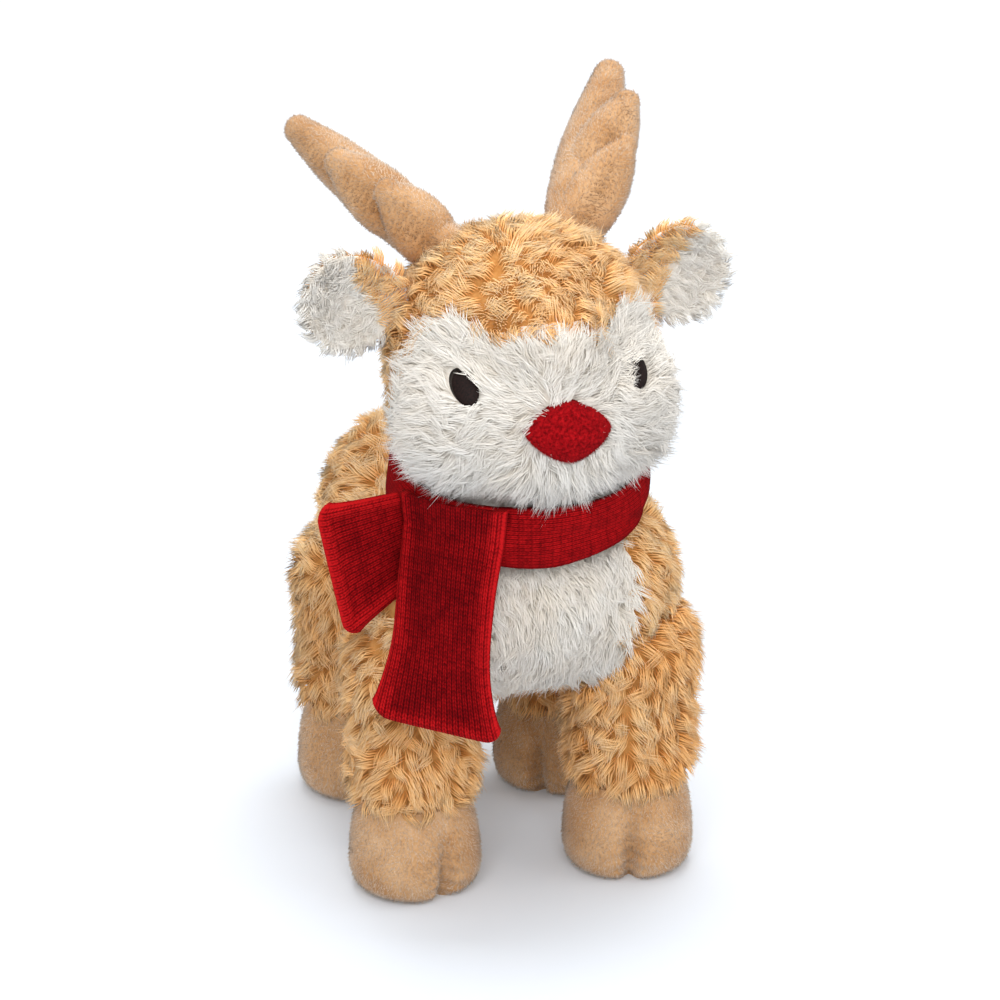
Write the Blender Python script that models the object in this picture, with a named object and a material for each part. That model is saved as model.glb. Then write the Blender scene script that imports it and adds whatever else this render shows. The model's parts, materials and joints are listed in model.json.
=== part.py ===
"""A standing plush deer with antlers, cloven hooves, a felt nose and a knitted scarf.

Metres, +Z up. The deer faces -Y and its own left side is +X. The origin lies on the
ground under the middle of the whole toy. Cloth is solid here: a cover stands for its
backing together with its pile at the mean height of the tips.
"""

import math

import bmesh
import bpy
import numpy as np
from mathutils import Matrix, Vector

# Cloth thickness and clearances
PILE = 0.004
NAP = 0.002
KNIT = 0.003
GAP = 0.0004
OVERRUN = 0.002

# Legs, each with a ball at the hip and a cuff over its hoof; a step is how many leg radii
# a leg stands to the left of its even place, and behind it
LEG_SPREAD = 0.084
LEG_BASE = 0.091
LEG_LENGTH = 0.054
LEG_RADIUS = 0.0265
HIP_RADIUS = 0.0275
CUFF_RADIUS = 0.022
LEG_SWING_DEGREES = 8
LEG_STEP_SHARES = {
    "front_left": (0.0, 0.0),
    "front_right": (-0.04, 0.23),
    "rear_left": (-0.08, -0.30),
    "rear_right": (0.15, 0.38),
}
LEG_HEIGHT_SHARES = (0.0, 0.06, 0.2, 0.6)
LEG_RADIUS_SHARES = (0.84, 0.95, 1.0, 0.99)

# Hooves
HOOF_HEIGHT = 0.038
HOOF_WIDTH = 0.050
HOOF_FRONT = 0.026
HOOF_BACK = 0.024
SOLE = 0.003
CLEFT_DEPTH = 0.0045
CLEFT_SPREAD_DEGREES = 12
HOOF_TURN_DEGREES = {
    "front_left": -16,
    "front_right": 0,
    "rear_left": -24,
    "rear_right": -4,
}
HOOF_HEIGHT_SHARES = (0.0, 0.07, 0.22, 0.45, 0.75, 1.0)
HOOF_WIDTH_SHARES = (0.70, 0.88, 0.99, 1.0, 0.95, 0.84)
HOOF_REACH_SHARES = (0.72, 0.88, 1.0, 1.0, 0.90, 0.78)
HOOF_CLEFT_SHARES = (0.7, 1.0, 1.0, 0.75, 0.3, 0.0)
FOOT_CORE_HEIGHT_SHARES = (0.14, 0.37, 0.68)
FOOT_CORE_RADIUS_SHARES = (0.70, 0.78, 0.76)
FOOT_CORE_SOLE_SHARE = 0.49

# Trunk; a row of lobe shares is side, along, up, half width, half length, half height
TRUNK_WIDTH = 0.118
TRUNK_LENGTH = 0.154
TRUNK_HEIGHT = 0.088
TRUNK_RISE = 0.028
TRUNK_LOBE_SHARES = (
    (0.0, 0.0, -0.05, 0.93, 0.93, 0.93),
    (0.45, -0.50, -0.05, 0.62, 0.47, 0.95),
    (0.28, 0.52, 0.10, 0.70, 0.50, 0.96),
    (0.0, -0.56, 0.0, 0.62, 0.45, 0.86),
)

# Bib on the chest; its middle lies before the front of the trunk by the overhang
BIB_WIDTH = 0.078
BIB_DEPTH = 0.084
BIB_HEIGHT = 0.092
BIB_OVERHANG = 0.009
BIB_LOBE_SHARES = (
    (0.0, 0.0, 0.22, 1.0, 1.0, 0.80),
    (0.0, 0.0, -0.42, 0.92, 0.95, 0.62),
)

# Neck ball and head; the inset is from the trunk's front, the sink from its top
NECK_RADIUS = 0.041
NECK_INSET = 0.041
NECK_SINK = 0.004
HEAD_TURN_DEGREES = 20
HEAD_NOD_DEGREES = 6
HEAD_WIDTH = 0.108
HEAD_LENGTH = 0.107
HEAD_HEIGHT = 0.100
HEAD_FORWARD = 0.009
HEAD_RISE = 0.056
HEAD_LOBE_SHARES = (
    (0.0, 0.19, -0.04, 0.97, 0.88, 0.96),
    (0.22, 0.16, 0.26, 0.55, 0.62, 0.58),
    (0.44, -0.18, -0.40, 0.58, 0.58, 0.58),
    (0.0, -0.41, -0.39, 0.64, 0.58, 0.63),
    (0.0, -0.34, 0.10, 0.45, 0.60, 0.54),
)

# Face panel, placed from the middle of the head
FACE_WIDTH = 0.140
FACE_DEPTH = 0.150
FACE_HEIGHT = 0.088
FACE_FORWARD = 0.046
FACE_DROP = 0.022
FACE_LOBE_SHARES = (
    (0.0, 0.0, 0.0, 1.0, 1.0, 1.0),
    (0.49, 0.24, 0.56, 0.26, 0.40, 0.48),
)

# Nose and eyes
NOSE_WIDTH = 0.034
NOSE_HEIGHT = 0.024
NOSE_PAD = 0.006
NOSE_DROP = 0.016
NOSE_POINT = 1.35
EYE_WIDTH = 0.0095
EYE_HEIGHT = 0.0120
EYE_PAD = 0.0012
EYE_SEAT = 0.0015
EYE_SPACING = 0.066
EYE_DROP = 0.003

# Ears; each leaf is placed by its root, set in from the side of the head
EAR_LENGTH = 0.042
EAR_HEIGHT = 0.045
EAR_BACK = 0.006
EAR_LINING = 0.005
EAR_CUP = 0.006
EAR_ROOT_INSET = 0.012
EAR_ROOT_BACK = 0.011
EAR_ROOT_UP = 0.020
EAR_RIM_SHARE = 0.4
EAR_ROOT_HEIGHT_SHARE = 0.72
EAR_EGG_SHARE = 0.36
EAR_FOLD_FORWARD_DEGREES = 15
EAR_FOLD_BACK_DEGREES = 20

# Antlers; tines are placed along and before the beam, the lower one first
ANTLER_LENGTH = 0.081
ANTLER_BASE_RADIUS = 0.0105
ANTLER_PALM_RADIUS = 0.0124
ANTLER_TIP_RADIUS = 0.0076
ANTLER_FLAT_SHARE = 0.98
ANTLER_CORE_RADIUS = 0.0070
ANTLER_CORE_LENGTH = 0.064
ANTLER_SIDE = 0.026
ANTLER_BACK = 0.024
ANTLER_UP = 0.034
ANTLER_SPREAD_DEGREES = {"left": 37, "right": 51}
ANTLER_SWEEP_DEGREES = {"left": 47, "right": 56}
ANTLER_FLEX_DEGREES = 10
TINE_RADIUS = 0.0108
TINE_TIP_RADIUS = 0.0074
TINE_REACH = 0.014
TINE_START_SHARES = {"left": (0.08, 0.38), "right": (0.06, 0.28)}
TINE_END_SHARES = {"left": (0.44, 0.69), "right": (0.24, 0.57)}

# Tail
TAIL_LENGTH = 0.036
TAIL_ROOT_RADIUS = 0.0075
TAIL_RADIUS = 0.0105
TAIL_LIFT_DEGREES = 25
TAIL_SWING_DEGREES = 20
TAIL_RISE = 0.016
TAIL_SEAT = 0.006

# Scarf loop round the neck
SCARF_RADIUS = 0.0460
SCARF_BAND = 0.023
SCARF_FOLD = 0.0075
SCARF_TILT_DEGREES = 7.5
SCARF_SQUARE_SHARE = 0.7

# Scarf end in front: rows from its root down to its hem
FRONT_END_LENGTH = 0.083
FRONT_END_WAIST = 0.039
FRONT_END_HEM = 0.048
FRONT_END_ROUND = 0.0055
FRONT_END_AROUND_DEGREES = 48
FRONT_END_FACING_DEGREES = (48, 24)
FRONT_END_LEAVING_DEGREES = 30
FRONT_END_BULGE = 0.017
FRONT_END_BEND = 0.0055
FRONT_END_SLANT = 0.010
FRONT_END_WIDTH_STOP_SHARES = (0.0, 0.4, 0.65, 1.0)

# Scarf end at the side: rows from the knot out to its hem
SIDE_END_LENGTH = 0.032
SIDE_END_WAIST = 0.026
SIDE_END_HEM = 0.049
SIDE_END_ROUND = 0.005
SIDE_END_AROUND_DEGREES = 84
SIDE_END_DROOP_DEGREES = 33
SIDE_END_LEAN_DEGREES = 14
SIDE_END_FORWARD_SHARE = 0.5
SIDE_END_RISE = -0.006

# Roundness of blends and number of facets
MELT = 16
SHARP_DEGREES = 40
ROUND_END_DEGREES = (0, 30, 60)
CUT_START_DEGREES = 45
BISECTIONS = 34
TRUNK_FACETS = (14, 24)
HEAD_FACETS = (14, 24)
FACE_FACETS = (11, 22)
CORE_FACETS = (9, 14)
NECK_FACETS = (9, 18)
LEG_COLUMNS = 16
LEG_CORE_COLUMNS = 12
BALL_STEPS = 4
HOOF_COLUMNS = 22
PAD_FACETS = (2, 14)
EAR_FACETS = (3, 16)
ANTLER_COLUMNS = 10
ANTLER_CORE_COLUMNS = 8
TAIL_COLUMNS = 10
SCARF_FACETS = (26, 8)
STRIP_ROWS = 9
STRIP_COLUMNS = 6

# The ends of a strip, whose rings run over its front and back behind it
FOLDED = "folded"

# Places worked out from the sizes above
HIP_HEIGHT = HOOF_HEIGHT + LEG_LENGTH
TRUNK_MIDDLE = np.array((0.0, 0.0, HIP_HEIGHT + TRUNK_RISE))
TRUNK_HALF = np.array((TRUNK_WIDTH, TRUNK_LENGTH, TRUNK_HEIGHT)) / 2
BIB_MIDDLE = TRUNK_MIDDLE + (0.0, -TRUNK_LENGTH / 2 - BIB_OVERHANG, 0.0)
BIB_HALF = np.array((BIB_WIDTH, BIB_DEPTH, BIB_HEIGHT)) / 2
NECK_MIDDLE = TRUNK_MIDDLE + (0.0, NECK_INSET - TRUNK_LENGTH / 2, TRUNK_HEIGHT / 2 - NECK_SINK)
HEAD_MIDDLE = NECK_MIDDLE + (0.0, -HEAD_FORWARD, HEAD_RISE)
HEAD_HALF = np.array((HEAD_WIDTH, HEAD_LENGTH, HEAD_HEIGHT)) / 2
EAR_ROOT_SIDE = HEAD_WIDTH / 2 - EAR_ROOT_INSET
FACE_MIDDLE = HEAD_MIDDLE + (0.0, -FACE_FORWARD, -FACE_DROP)
FACE_HALF = np.array((FACE_WIDTH, FACE_DEPTH, FACE_HEIGHT)) / 2

PILE_TAN = ("pile_cloth_tan", (0.60, 0.33, 0.13), 0.95)
PILE_CREAM = ("pile_cloth_cream", (0.86, 0.83, 0.76), 0.95)
NAP_BEIGE = ("nap_cloth_beige", (0.55, 0.33, 0.18), 0.9)
FELT_RED = ("felt_red", (0.40, 0.01, 0.015), 0.9)
KNIT_RED = ("knit_red", (0.30, 0.008, 0.012), 0.85)
THREAD_DARK = ("thread_dark", (0.02, 0.012, 0.01), 0.6)
FILLING_WHITE = ("filling_white", (0.85, 0.85, 0.83), 1.0)


def clear_scene():
    """Remove whatever the scene holds."""
    for thing in list(bpy.data.objects):
        bpy.data.objects.remove(thing, do_unlink=True)


def material_of(finish):
    """The Principled material of a finish, made once."""
    name, colour, roughness = finish
    found = bpy.data.materials.get(name)
    if found:
        return found
    made = bpy.data.materials.new(name)
    made.use_nodes = True
    shader = made.node_tree.nodes["Principled BSDF"]
    shader.inputs["Base Color"].default_value = (*colour, 1.0)
    shader.inputs["Roughness"].default_value = roughness
    shader.inputs["Metallic"].default_value = 0.0
    return made


def solid_from_rings(name, rings, ends, finish):
    """A closed solid over rings of points, fanned shut on its two end points.

    With no end points the last ring joins the first, as on a hoop. With folded ends each
    end ring is shut across, its first half against its second. The faces are triangles,
    because a bent four-sided face has no one plane that a cut could follow."""
    rings = np.asarray(rings, float)
    count, columns = rings.shape[:2]
    points = rings.reshape(-1, 3)
    column = np.arange(columns)
    after = (column + 1) % columns
    faces = []
    for row in range(count if ends is None else count - 1):
        low = row * columns
        high = (row + 1) % count * columns
        quads = np.stack((low + column, low + after, high + after, high + column), axis=1)
        faces += quads.tolist()
    top = (count - 1) * columns
    if ends is FOLDED:
        for near in range(columns // 2 - 1):
            far = columns - 1 - near
            faces += [(near + 1, near, far, far - 1)]
            faces += [(top + near, top + near + 1, top + far - 1, top + far)]
    elif ends is not None:
        first, last = len(points), len(points) + 1
        points = np.vstack((points, ends))
        faces += [(first, b, a) for a, b in zip(column.tolist(), after.tolist())]
        faces += [(last, top + a, top + b) for a, b in zip(column.tolist(), after.tolist())]
    mesh = bpy.data.meshes.new(name)
    mesh.from_pydata(points.tolist(), [], faces)
    work = bmesh.new()
    work.from_mesh(mesh)
    bmesh.ops.triangulate(work, faces=work.faces)
    if work.calc_volume(signed=True) < 0:
        bmesh.ops.reverse_faces(work, faces=work.faces)
    work.to_mesh(mesh)
    work.free()
    mesh.shade_smooth()
    mesh.set_sharp_from_angle(angle=math.radians(SHARP_DEGREES))
    mesh.materials.append(material_of(finish))
    made = bpy.data.objects.new(name, mesh)
    bpy.context.collection.objects.link(made)
    return made


def as_cutter(made):
    """Mark an object as a cutter, which is not a piece of the toy."""
    made.name = "cutter_" + made.name
    made.hide_render = True
    made.display_type = "WIRE"
    return made


def carve(piece, cutter, operation="DIFFERENCE"):
    """Cut a piece by a cutter, or keep what they share, or join them."""
    boolean = piece.modifiers.new(operation.lower() + "_" + cutter.name, "BOOLEAN")
    boolean.operation = operation
    boolean.solver = "EXACT"
    boolean.object = cutter


def facet_slack(radius, step_degrees):
    """How far the middle of a facet lies inside a round of this radius."""
    return radius * (1 - math.cos(math.radians(step_degrees / 2)))


def lobe_table(shares, middle, half):
    """Centres and radii of lobes; a lobe beside the middle plane has its mirror image."""
    rows = list(shares) + [(-row[0], *row[1:]) for row in shares if row[0]]
    table = np.array(rows)
    return middle + table[:, :3] * half, table[:, 3:] * half


def skin_distance(starts, directions, lobes):
    """How far along each direction the melted skin of all lobes lies.

    A lobe's level is 1 on its own skin. The levels are joined by a power sum, which
    rounds the valleys between lobes, and the crossing is found by halving."""
    centres, radii = lobes
    reach = np.abs(centres - starts.reshape(-1, 3)[0]).max() + 2 * radii.max()
    near = np.zeros(len(directions))
    far = np.full(len(directions), reach)
    for _ in range(BISECTIONS):
        middle = (near + far) / 2
        points = starts + directions * middle[:, None]
        level = np.linalg.norm((points[:, None] - centres) / radii, axis=2)
        inside = (np.maximum(level, 1 / MELT) ** -MELT).sum(axis=1) > 1
        near = np.where(inside, middle, near)
        far = np.where(inside, far, middle)
    return near


def ball_directions(rows, columns):
    """Unit directions in rings from the lower to the upper pole of a ball."""
    polar = -np.pi / 2 + np.pi * np.arange(1, rows) / rows
    turn = 2 * np.pi * np.arange(columns) / columns
    polar, turn = np.meshgrid(polar, turn, indexing="ij")
    flat = np.cos(polar)
    return np.stack((flat * np.cos(turn), flat * np.sin(turn), np.sin(polar)), axis=-1)


def lobed_ball(name, lobes, middle, facets, grow, finish):
    """A solid whose skin is the melted skin of lobes, moved out by grow."""
    directions = ball_directions(*facets)
    shape = directions.shape
    flat = np.vstack((directions.reshape(-1, 3), (0, 0, -1), (0, 0, 1)))
    points = middle + flat * (skin_distance(middle, flat, lobes) + grow)[:, None]
    return solid_from_rings(name, points[:-2].reshape(shape), points[-2:], finish)


def turned_solid(name, profile, ends, centre, columns, finish, pivot_height=0.0, swing=0.0):
    """A turned solid from pairs of radius and height, with its axis through centre.

    Its ends are the heights of its two poles.
    With a swing in degrees it is the room that the solid needs while it swings about an
    axis along X at the pivot's height: below the pivot it widens along Y."""
    profile = np.array(profile)
    turn = 2 * np.pi * np.arange(columns) / columns
    ring = np.stack((np.cos(turn), np.sin(turn), np.zeros(columns)), axis=1)
    up = np.array((0.0, 0.0, 1.0))
    ahead = np.stack((np.zeros(columns), np.sin(turn), np.zeros(columns)), axis=1)
    spread = math.tan(math.radians(swing))
    rings = [
        centre + ring * radius + up * height + ahead * max(0.0, pivot_height - height) * spread
        for radius, height in profile
    ]
    poles = (centre + up * ends[0], centre + up * ends[1])
    return solid_from_rings(name, rings, poles, finish)


def unit(vector):
    """The vector at length one."""
    return np.asarray(vector, float) / np.linalg.norm(vector)


def finger(name, start, end, radii, flat, cut_start, columns, finish):
    """A tapered rod with round ends, pressed flat along one direction.

    The radii are spread evenly from start to end. Ring radii follow a quarter circle at
    each end. A rod with a cut start has only the first part of that quarter circle there,
    and ends in a flat face."""
    along = unit(end - start)
    thin = unit(flat[0])
    wide = np.cross(thin, along)
    turn = 2 * np.pi * np.arange(columns) / columns
    ring = wide * np.cos(turn)[:, None] + thin * (np.sin(turn) * flat[1])[:, None]
    first, *between, last = radii
    front_angles = np.radians(ROUND_END_DEGREES)
    back_angles = np.radians((CUT_START_DEGREES, 0)) if cut_start else front_angles[::-1]
    rings = [start + ring * first * np.cos(a) - along * first * np.sin(a) for a in back_angles]
    for step, radius in enumerate(between, start=1):
        rings.append(start + (end - start) * step / (len(radii) - 1) + ring * radius)
    rings += [end + ring * last * np.cos(a) + along * last * np.sin(a) for a in front_angles]
    back_share = np.sin(back_angles[0]) if cut_start else 1.0
    ends = (start - along * first * back_share, end + along * last)
    return solid_from_rings(name, rings, ends, finish)


def pad_on_skin(name, lobes, starts_of, direction_of, heights, finish):
    """A pad between two heights over a skin, its front crowned and its rim thin."""
    rows, columns = PAD_FACETS
    turn = 2 * np.pi * np.arange(columns) / columns
    shares = np.arange(1, rows + 1) / rows
    low, rim, crown = heights

    def layer(share, height):
        starts = starts_of(share, turn)
        directions = direction_of(starts)
        return starts + directions * (skin_distance(starts, directions, lobes) + height)[:, None]

    crowns = [rim + (crown - rim) * math.sqrt(max(0.0, 1 - share**2)) for share in shares]
    rings = [layer(share, height) for share, height in zip(shares, crowns)]
    rings += [layer(share, low) for share in shares[::-1]]
    ends = (layer(0.0, crown).mean(axis=0), layer(0.0, low).mean(axis=0))
    return solid_from_rings(name, rings, ends, finish)


def strip(name, middles, across, half_widths, bends, thickness, corner, finish):
    """A cloth strip along a row of middles, with its hem's corners rounded.

    Each ring runs over the front of the strip and back behind it. A bend is how far the
    strip's two edges lie behind its middle there."""
    middles = np.asarray(middles)
    along = np.gradient(middles, axis=0)
    rings = []
    shares = np.linspace(-1, 1, STRIP_COLUMNS)
    for middle, side, half, bend, run in zip(middles, across, half_widths, bends, along):
        facing = unit(np.cross(run, side))
        row = middle + side * (shares * half)[:, None] - facing * (shares**2 * bend)[:, None]
        front = row + facing * thickness / 2
        back = row - facing * thickness / 2
        rings.append(np.vstack((front, back[::-1])))
    rings = np.array(rings)
    lift = unit(along[-1]) * corner
    edge = np.isclose(np.abs(shares), 1)
    rings[-1][np.concatenate((edge, edge[::-1]))] -= lift
    return solid_from_rings(name, rings, FOLDED, finish)


def joint_frame(name, pivot):
    """An empty on a joint's axis, which carries the pieces that move with it."""
    empty = bpy.data.objects.new(name, None)
    empty.empty_display_size = PILE
    empty.location = Vector(pivot)
    bpy.context.collection.objects.link(empty)
    return empty


def carried_by(empty, *pieces):
    """Parent pieces to an empty, with their origins on it and their places kept."""
    for piece in pieces:
        piece.data.transform(Matrix.Translation(-empty.location))
        piece.parent = empty


TRUNK_LOBES = lobe_table(TRUNK_LOBE_SHARES, TRUNK_MIDDLE, TRUNK_HALF)
BIB_LOBES = lobe_table(BIB_LOBE_SHARES, BIB_MIDDLE, BIB_HALF)
HEAD_LOBES = lobe_table(HEAD_LOBE_SHARES, HEAD_MIDDLE, HEAD_HALF)
FACE_LOBES = lobe_table(FACE_LOBE_SHARES, FACE_MIDDLE, FACE_HALF)


def trunk_pieces():
    """Body cover and chest panel, cut from one shell, and the filling inside."""
    made = {}
    hollow = as_cutter(
        lobed_ball("trunk_hollow", TRUNK_LOBES, TRUNK_MIDDLE, CORE_FACETS, -PILE, FILLING_WHITE)
    )
    for name, grow, operation, finish in (
        ("body_cover", GAP, "DIFFERENCE", PILE_TAN),
        ("chest_panel", 0.0, "INTERSECT", PILE_CREAM),
    ):
        cover = lobed_ball(name, TRUNK_LOBES, TRUNK_MIDDLE, TRUNK_FACETS, 0.0, finish)
        carve(cover, hollow)
        bib = lobed_ball(name + "_bib", BIB_LOBES, BIB_MIDDLE, CORE_FACETS, grow, PILE_CREAM)
        carve(cover, as_cutter(bib), operation)
        made[name] = cover
    made["body_stuffing"] = lobed_ball(
        "body_stuffing", TRUNK_LOBES, TRUNK_MIDDLE, CORE_FACETS, -PILE - GAP, FILLING_WHITE
    )
    return made


def neck_pieces(trunk, head):
    """The stuffed ball of the neck, which the trunk and the head are hollowed for."""
    table = (NECK_MIDDLE[None], np.full((1, 3), NECK_RADIUS))
    neck = lobed_ball("neck", table, NECK_MIDDLE, NECK_FACETS, 0.0, PILE_TAN)
    play = GAP + facet_slack(NECK_RADIUS, 360 / NECK_FACETS[1])
    room = as_cutter(lobed_ball("neck_room", table, NECK_MIDDLE, NECK_FACETS, play, PILE_TAN))
    for piece in (*trunk, *head):
        carve(piece, room)
    frame = joint_frame("head_turn_axis", NECK_MIDDLE)
    carried_by(frame, neck)


def head_pieces():
    """Head cover and face panel, cut from one shell, and the filling inside."""
    made = {}
    hollow = as_cutter(
        lobed_ball("head_hollow", HEAD_LOBES, HEAD_MIDDLE, CORE_FACETS, -PILE, FILLING_WHITE)
    )
    for name, grow, operation, finish in (
        ("head_cover", GAP, "DIFFERENCE", PILE_TAN),
        ("face_panel", 0.0, "INTERSECT", PILE_CREAM),
    ):
        cover = lobed_ball(name, HEAD_LOBES, HEAD_MIDDLE, HEAD_FACETS, 0.0, finish)
        carve(cover, hollow)
        face = lobed_ball(name + "_face", FACE_LOBES, FACE_MIDDLE, FACE_FACETS, grow, PILE_CREAM)
        carve(cover, as_cutter(face), operation)
        made[name] = cover
    made["head_stuffing"] = lobed_ball(
        "head_stuffing", HEAD_LOBES, HEAD_MIDDLE, CORE_FACETS, -PILE - GAP, FILLING_WHITE
    )
    return made


def nose_piece():
    """The felt nose: a crowned pad over the muzzle with a pointed left and right end."""
    centre = HEAD_MIDDLE + (0.0, 0.0, -NOSE_DROP)

    def starts_of(share, turn):
        side, up = np.cos(turn), np.sin(turn)
        level = (np.abs(side) ** NOSE_POINT + np.abs(up) ** NOSE_POINT) ** (-1 / NOSE_POINT)
        half = share * level
        flat = np.stack((side * half * NOSE_WIDTH / 2, 0 * up, up * half * NOSE_HEIGHT / 2), axis=1)
        return centre + flat

    def direction_of(starts):
        return np.tile((0.0, -1.0, 0.0), (len(starts), 1))

    heights = (2 * GAP, 2 * GAP + NAP / 2, NOSE_PAD)
    return pad_on_skin("nose", HEAD_LOBES, starts_of, direction_of, heights, FELT_RED)


def eye_piece(name, side, grow, finish):
    """An embroidered oval sunk into the face panel; grown, it is the seat's cutter."""
    centre = HEAD_MIDDLE + (side * EYE_SPACING / 2, 0.0, -EYE_DROP)

    def starts_of(share, turn):
        half_width = share * (EYE_WIDTH / 2 + grow)
        half_height = share * (EYE_HEIGHT / 2 + grow)
        flat = (np.cos(turn) * half_width, 0 * turn, np.sin(turn) * half_height)
        return centre + np.stack(flat, axis=1)

    def direction_of(starts):
        return np.tile((0.0, -1.0, 0.0), (len(starts), 1))

    rim = EYE_PAD / 2 + (OVERRUN if grow else 0.0)
    heights = (-EYE_SEAT - grow, rim, max(rim, EYE_PAD))
    return pad_on_skin(name, HEAD_LOBES, starts_of, direction_of, heights, finish)


def eye_pieces(face):
    """Both eyes, each in its seat in the face panel."""
    made = {}
    for name, side in (("left_eye", 1), ("right_eye", -1)):
        made[name] = eye_piece(name, side, 0.0, THREAD_DARK)
        carve(face, as_cutter(eye_piece(name + "_seat", side, GAP, THREAD_DARK)))
    return made


def ear_leaf(name, side, front, back, grow, finish, fold=(0.0, 0.0)):
    """One layer of an ear between two depths behind its middle surface.

    The outline is an egg, wider towards the tip. The middle surface is dished: it lies
    deepest behind the middle of the leaf and comes forward to its rim. With a fold in
    degrees forward and back it is the room that the ear needs while it folds."""
    root = HEAD_MIDDLE + (side * EAR_ROOT_SIDE, EAR_ROOT_BACK, EAR_ROOT_UP)
    rows, columns = EAR_FACETS
    turn = 2 * np.pi * np.arange(columns) / columns

    def layer(share, depth):
        egg = EAR_ROOT_HEIGHT_SHARE + EAR_EGG_SHARE * (1 - np.cos(turn)) / 2
        high = np.sin(turn) * egg
        out = (1 - np.cos(turn) * share) / 2
        length = EAR_LENGTH + 2 * grow
        height = EAR_HEIGHT + 2 * grow
        cup = EAR_CUP * (1 - share**2)
        swell = EAR_RIM_SHARE + (1 - EAR_RIM_SHARE) * math.sqrt(max(0.0, 1 - share**2))
        offset = cup + depth * swell + math.copysign(grow, depth)
        run = out * length - grow
        angle = math.radians(-fold[0] if depth < 0 else fold[1])
        swung = run * math.cos(angle) - offset * math.sin(angle)
        behind = run * math.sin(angle) + offset * math.cos(angle)
        return root + np.stack((side * swung, behind, high * share * height / 2), axis=1)

    shares = np.arange(1, rows + 1) / rows
    rings = [layer(share, front) for share in shares]
    rings += [layer(share, back) for share in shares[::-1]]
    ends = (layer(0.0, front).mean(axis=0), layer(0.0, back).mean(axis=0))
    return solid_from_rings(name, rings, ends, finish)


def ear_pieces(word, side, head):
    """An ear of a tan back and a cream lining, with its pocket cut in the head."""
    back = ear_leaf(word + "_ear_back", side, GAP / 2, EAR_BACK, 0.0, PILE_TAN)
    lining = ear_leaf(word + "_ear_lining", side, -EAR_LINING, -GAP / 2, 0.0, PILE_CREAM)
    fold = (EAR_FOLD_FORWARD_DEGREES, EAR_FOLD_BACK_DEGREES)
    room = ear_leaf(word + "_ear", side, -EAR_LINING, EAR_BACK, GAP, PILE_TAN, fold)
    as_cutter(room)
    for piece in head:
        carve(piece, room)
    pivot = HEAD_MIDDLE + (side * EAR_ROOT_SIDE, EAR_ROOT_BACK, EAR_ROOT_UP)
    frame = joint_frame(word + "_ear_axis", pivot)
    carried_by(frame, back, lining)


def antler_frame(word, side):
    """Base point, beam direction, forward direction and thin direction of an antler."""
    spread = math.radians(ANTLER_SPREAD_DEGREES[word])
    sweep = math.radians(ANTLER_SWEEP_DEGREES[word])
    rise = math.cos(sweep)
    beam = np.array((side * rise * math.sin(spread), math.sin(sweep), rise * math.cos(spread)))
    ahead = np.array((0.0, -1.0, 0.0))
    forward = unit(ahead - beam * ahead.dot(beam))
    base = HEAD_MIDDLE + (side * ANTLER_SIDE, ANTLER_BACK, ANTLER_UP)
    return base, beam, forward, np.cross(beam, forward)


def antler_pieces(word, side, head):
    """An antler: one nap cloth cover over beam and tines, and the filling of the beam."""
    base, beam, forward, thin = antler_frame(word, side)
    flat = (thin, ANTLER_FLAT_SHARE)
    tip = base + beam * ANTLER_LENGTH
    radii = (ANTLER_BASE_RADIUS, ANTLER_PALM_RADIUS, ANTLER_TIP_RADIUS)
    name = word + "_antler_cover"
    cover = finger(name, base, tip, radii, flat, True, ANTLER_COLUMNS, NAP_BEIGE)
    for start_share, end_share in zip(TINE_START_SHARES[word], TINE_END_SHARES[word]):
        start = base + beam * ANTLER_LENGTH * start_share
        end = base + beam * ANTLER_LENGTH * end_share + forward * TINE_REACH
        tine = finger(
            word + "_tine",
            start,
            end,
            (TINE_RADIUS, TINE_TIP_RADIUS),
            flat,
            False,
            ANTLER_COLUMNS,
            NAP_BEIGE,
        )
        carve(cover, as_cutter(tine), "UNION")
    core_end = base + beam * ANTLER_CORE_LENGTH
    cut_share = math.sin(math.radians(CUT_START_DEGREES))
    core_start = base - beam * (ANTLER_BASE_RADIUS - ANTLER_CORE_RADIUS) * cut_share
    cores = []
    for core_name, grow, overrun in (("stuffing", 0.0, 0.0), ("core_room", GAP, OVERRUN)):
        radius = ANTLER_CORE_RADIUS + grow
        core = finger(
            word + "_antler_" + core_name,
            core_start - beam * overrun,
            core_end,
            (radius, radius),
            flat,
            True,
            ANTLER_CORE_COLUMNS,
            FILLING_WHITE,
        )
        cores.append(core)
    stuffing, core_room = cores
    carve(cover, as_cutter(core_room))
    slack = facet_slack(ANTLER_BASE_RADIUS, 360 / ANTLER_COLUMNS)
    room_radius = ANTLER_BASE_RADIUS + GAP + slack
    room_end = base + beam * 2 * ANTLER_BASE_RADIUS
    flare = 2 * ANTLER_BASE_RADIUS * math.tan(math.radians(ANTLER_FLEX_DEGREES))
    room = finger(
        word + "_antler_room",
        base,
        room_end,
        (room_radius, room_radius + flare),
        (thin, 1.0),
        False,
        ANTLER_COLUMNS,
        NAP_BEIGE,
    )
    as_cutter(room)
    for piece in head:
        carve(piece, room)
    frame = joint_frame(word + "_antler_axis", base)
    carried_by(frame, cover, stuffing)


def ball_profile(radius, height):
    """Radius and height pairs over the upper half of a ball, short of its pole."""
    angles = [math.radians(90 * step / BALL_STEPS) for step in range(BALL_STEPS)]
    return [(radius * math.cos(angle), height + radius * math.sin(angle)) for angle in angles]


def leg_profile(inset):
    """Radius and height pairs of a leg from its cuff up over the ball of the hip."""
    pairs = [
        (LEG_RADIUS * radius_share - inset, HOOF_HEIGHT + GAP + LEG_LENGTH * height_share)
        for height_share, radius_share in zip(LEG_HEIGHT_SHARES, LEG_RADIUS_SHARES)
    ]
    return pairs + ball_profile(HIP_RADIUS - inset, HIP_HEIGHT)


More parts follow.
